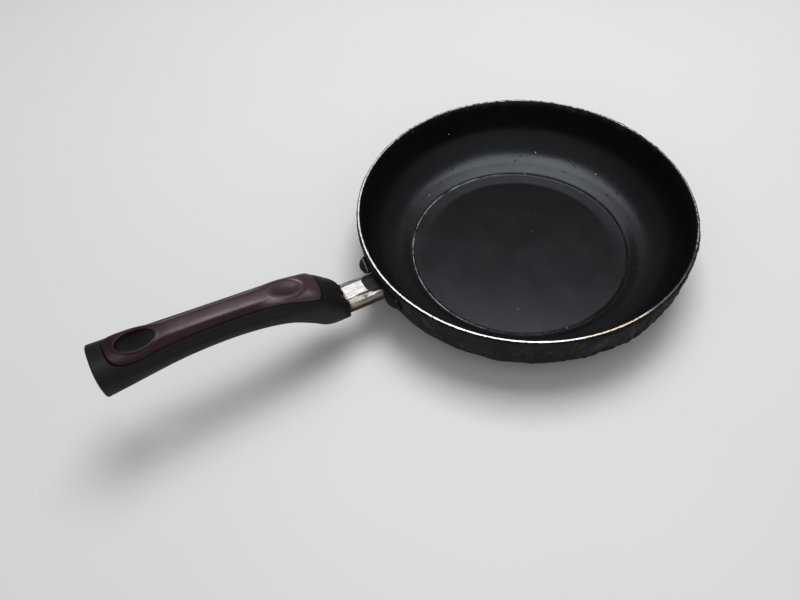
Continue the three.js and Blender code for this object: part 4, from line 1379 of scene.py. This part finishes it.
def platedMaterial():
    material, tree, shader, place = startMaterial("zinc_plated")
    dull = patched(tree, place, 260.0, cover=0.5, soft=0.2)
    colour = mixColour(tree, dull, platedLook["zinc"], platedLook["stained"])
    feed(tree, shader, {
        "Base Color": colour,
        "Roughness": ranged(tree, dull, 0.0, 1.0, 0.28, 0.55),
        "Metallic": 1.0,
    })
    setBump(tree, shader, noise(tree, place, 900, 3.0), 0.2, 0.0001)
    return material


def finishPiece(piece, material, slot, *nodes):
    piece.data.materials.clear()
    piece.data.materials.append(material)
    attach(piece, "root")
    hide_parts(*nodes)


# Camera at the photo's viewing angle

view = {
    "place": (-0.2396, -0.2806, 0.4108),
    "heading": math.radians(64.37),  # from +X towards +Y
    "dip": math.radians(52.45),
    "roll": math.radians(-4.44),
    "focalPixels": 700.0,
    "frameWidth": 800.0,
}


def makeCamera():
    ahead = Vector((math.cos(view["dip"]) * math.cos(view["heading"]),
                    math.cos(view["dip"]) * math.sin(view["heading"]), -math.sin(view["dip"])))
    right = ahead.cross(Vector((0, 0, 1))).normalized()
    up = right.cross(ahead)
    c, s = math.cos(view["roll"]), math.sin(view["roll"])
    axes = Matrix((right * c + up * s, up * c - right * s, -ahead)).transposed()
    data = bpy.data.cameras.new("camera")
    data.sensor_width = 36.0
    data.lens = data.sensor_width * view["focalPixels"] / view["frameWidth"]
    data.clip_start = 0.01
    camera = bpy.data.objects.new("camera", data)
    camera.matrix_world = Matrix.Translation(view["place"]) @ axes.to_4x4()
    bpy.context.scene.collection.objects.link(camera)
    bpy.context.scene.camera = camera


studio = {
    "floor": (0.715, 0.718, 0.722, 1),
    "floorCloud": (0.675, 0.675, 0.675, 1),
    "floorHalf": 12.0,
    "sky": (0.96, 0.98, 1.0, 1),
    "skyAhead": 0.23,
    "skyBehind": 0.66,
    "behind": (-0.363, -0.757, 0.543),  # towards the photographer and upwards
    "keyPlace": (0.20, 0.255, 1.25),
    "keyWidth": 0.75,
    "keyDepth": 0.75,
    "keyPower": 12.8,
}


def makeStudio():
    scene = bpy.context.scene
    scene.view_settings.view_transform = "Standard"
    world = bpy.data.worlds.new("room")
    scene.world = world
    world.use_nodes = True
    sky = world.node_tree.nodes["Background"]
    sky.inputs["Color"].default_value = studio["sky"]
    # the room is brighter behind the photographer, which fills the shadows
    tree = world.node_tree
    around = addNode(tree, "TexCoord").outputs["Generated"]
    inputs = {0: around, 1: studio["behind"]}
    towards = addNode(tree, "VectorMath", inputs, operation="DOT_PRODUCT").outputs["Value"]
    strength = ranged(tree, towards, 0.0, 0.9, studio["skyAhead"], studio["skyBehind"])
    tree.links.new(strength, sky.inputs["Strength"])
    lamp = bpy.data.lights.new("softbox", "AREA")
    lamp.shape = "RECTANGLE"
    lamp.size = studio["keyWidth"]
    lamp.size_y = studio["keyDepth"]
    lamp.energy = studio["keyPower"]
    key = bpy.data.objects.new("softbox", lamp)
    key.location = studio["keyPlace"]
    aim = Vector((0.0, 0.0, 0.0)) - key.location
    key.rotation_euler = aim.to_track_quat("-Z", "Y").to_euler()
    scene.collection.objects.link(key)
    size = studio["floorHalf"]
    mesh = bpy.data.meshes.new("table_top")
    corners = [(-size, -size, 0), (size, -size, 0), (size, size, 0), (-size, size, 0)]
    mesh.from_pydata(corners, [], [(0, 1, 2, 3)])
    floor = bpy.data.objects.new("table_top", mesh)
    floor.location.z = -0.0002
    scene.collection.objects.link(floor)
    material, tree, shader, place = startMaterial("pale_table")
    colour = mixColour(tree, noise(tree, place, 3, 2.0), studio["floor"], studio["floorCloud"])
    feed(tree, shader, {"Base Color": colour, "Roughness": 0.5, "Specular IOR Level": 0.25})
    mesh.materials.append(material)


makeCamera()
makeStudio()
print("camera, table and light ready")

visiblePieces = (
    (makeDish, dishMaterial, "coated_aluminium", "pan_body"),
    (makeBracket, bracketMaterial, "cast_bracket", "handle_bracket"),
    (makeCrust, crustMaterial, "carbon_crust", "burnt_crust"),
    (makeFerrule, ferruleMaterial, "ferrule_steel", "ferrule"),
    (makeGripBody, gripMaterial, "phenolic_grip", "grip_body"),
    (makeInlay, padMaterial, "soft_inlay", "grip_inlay"),
)
for makePiece, makeMaterial, slot, node in visiblePieces:
    finishPiece(makePiece(), makeMaterial(), slot, node)
    print(node, "ready")
plated = platedMaterial()
for name in ("clamp_screw", "spring_washer"):
    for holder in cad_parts[name].material_slots:
        holder.material = plated
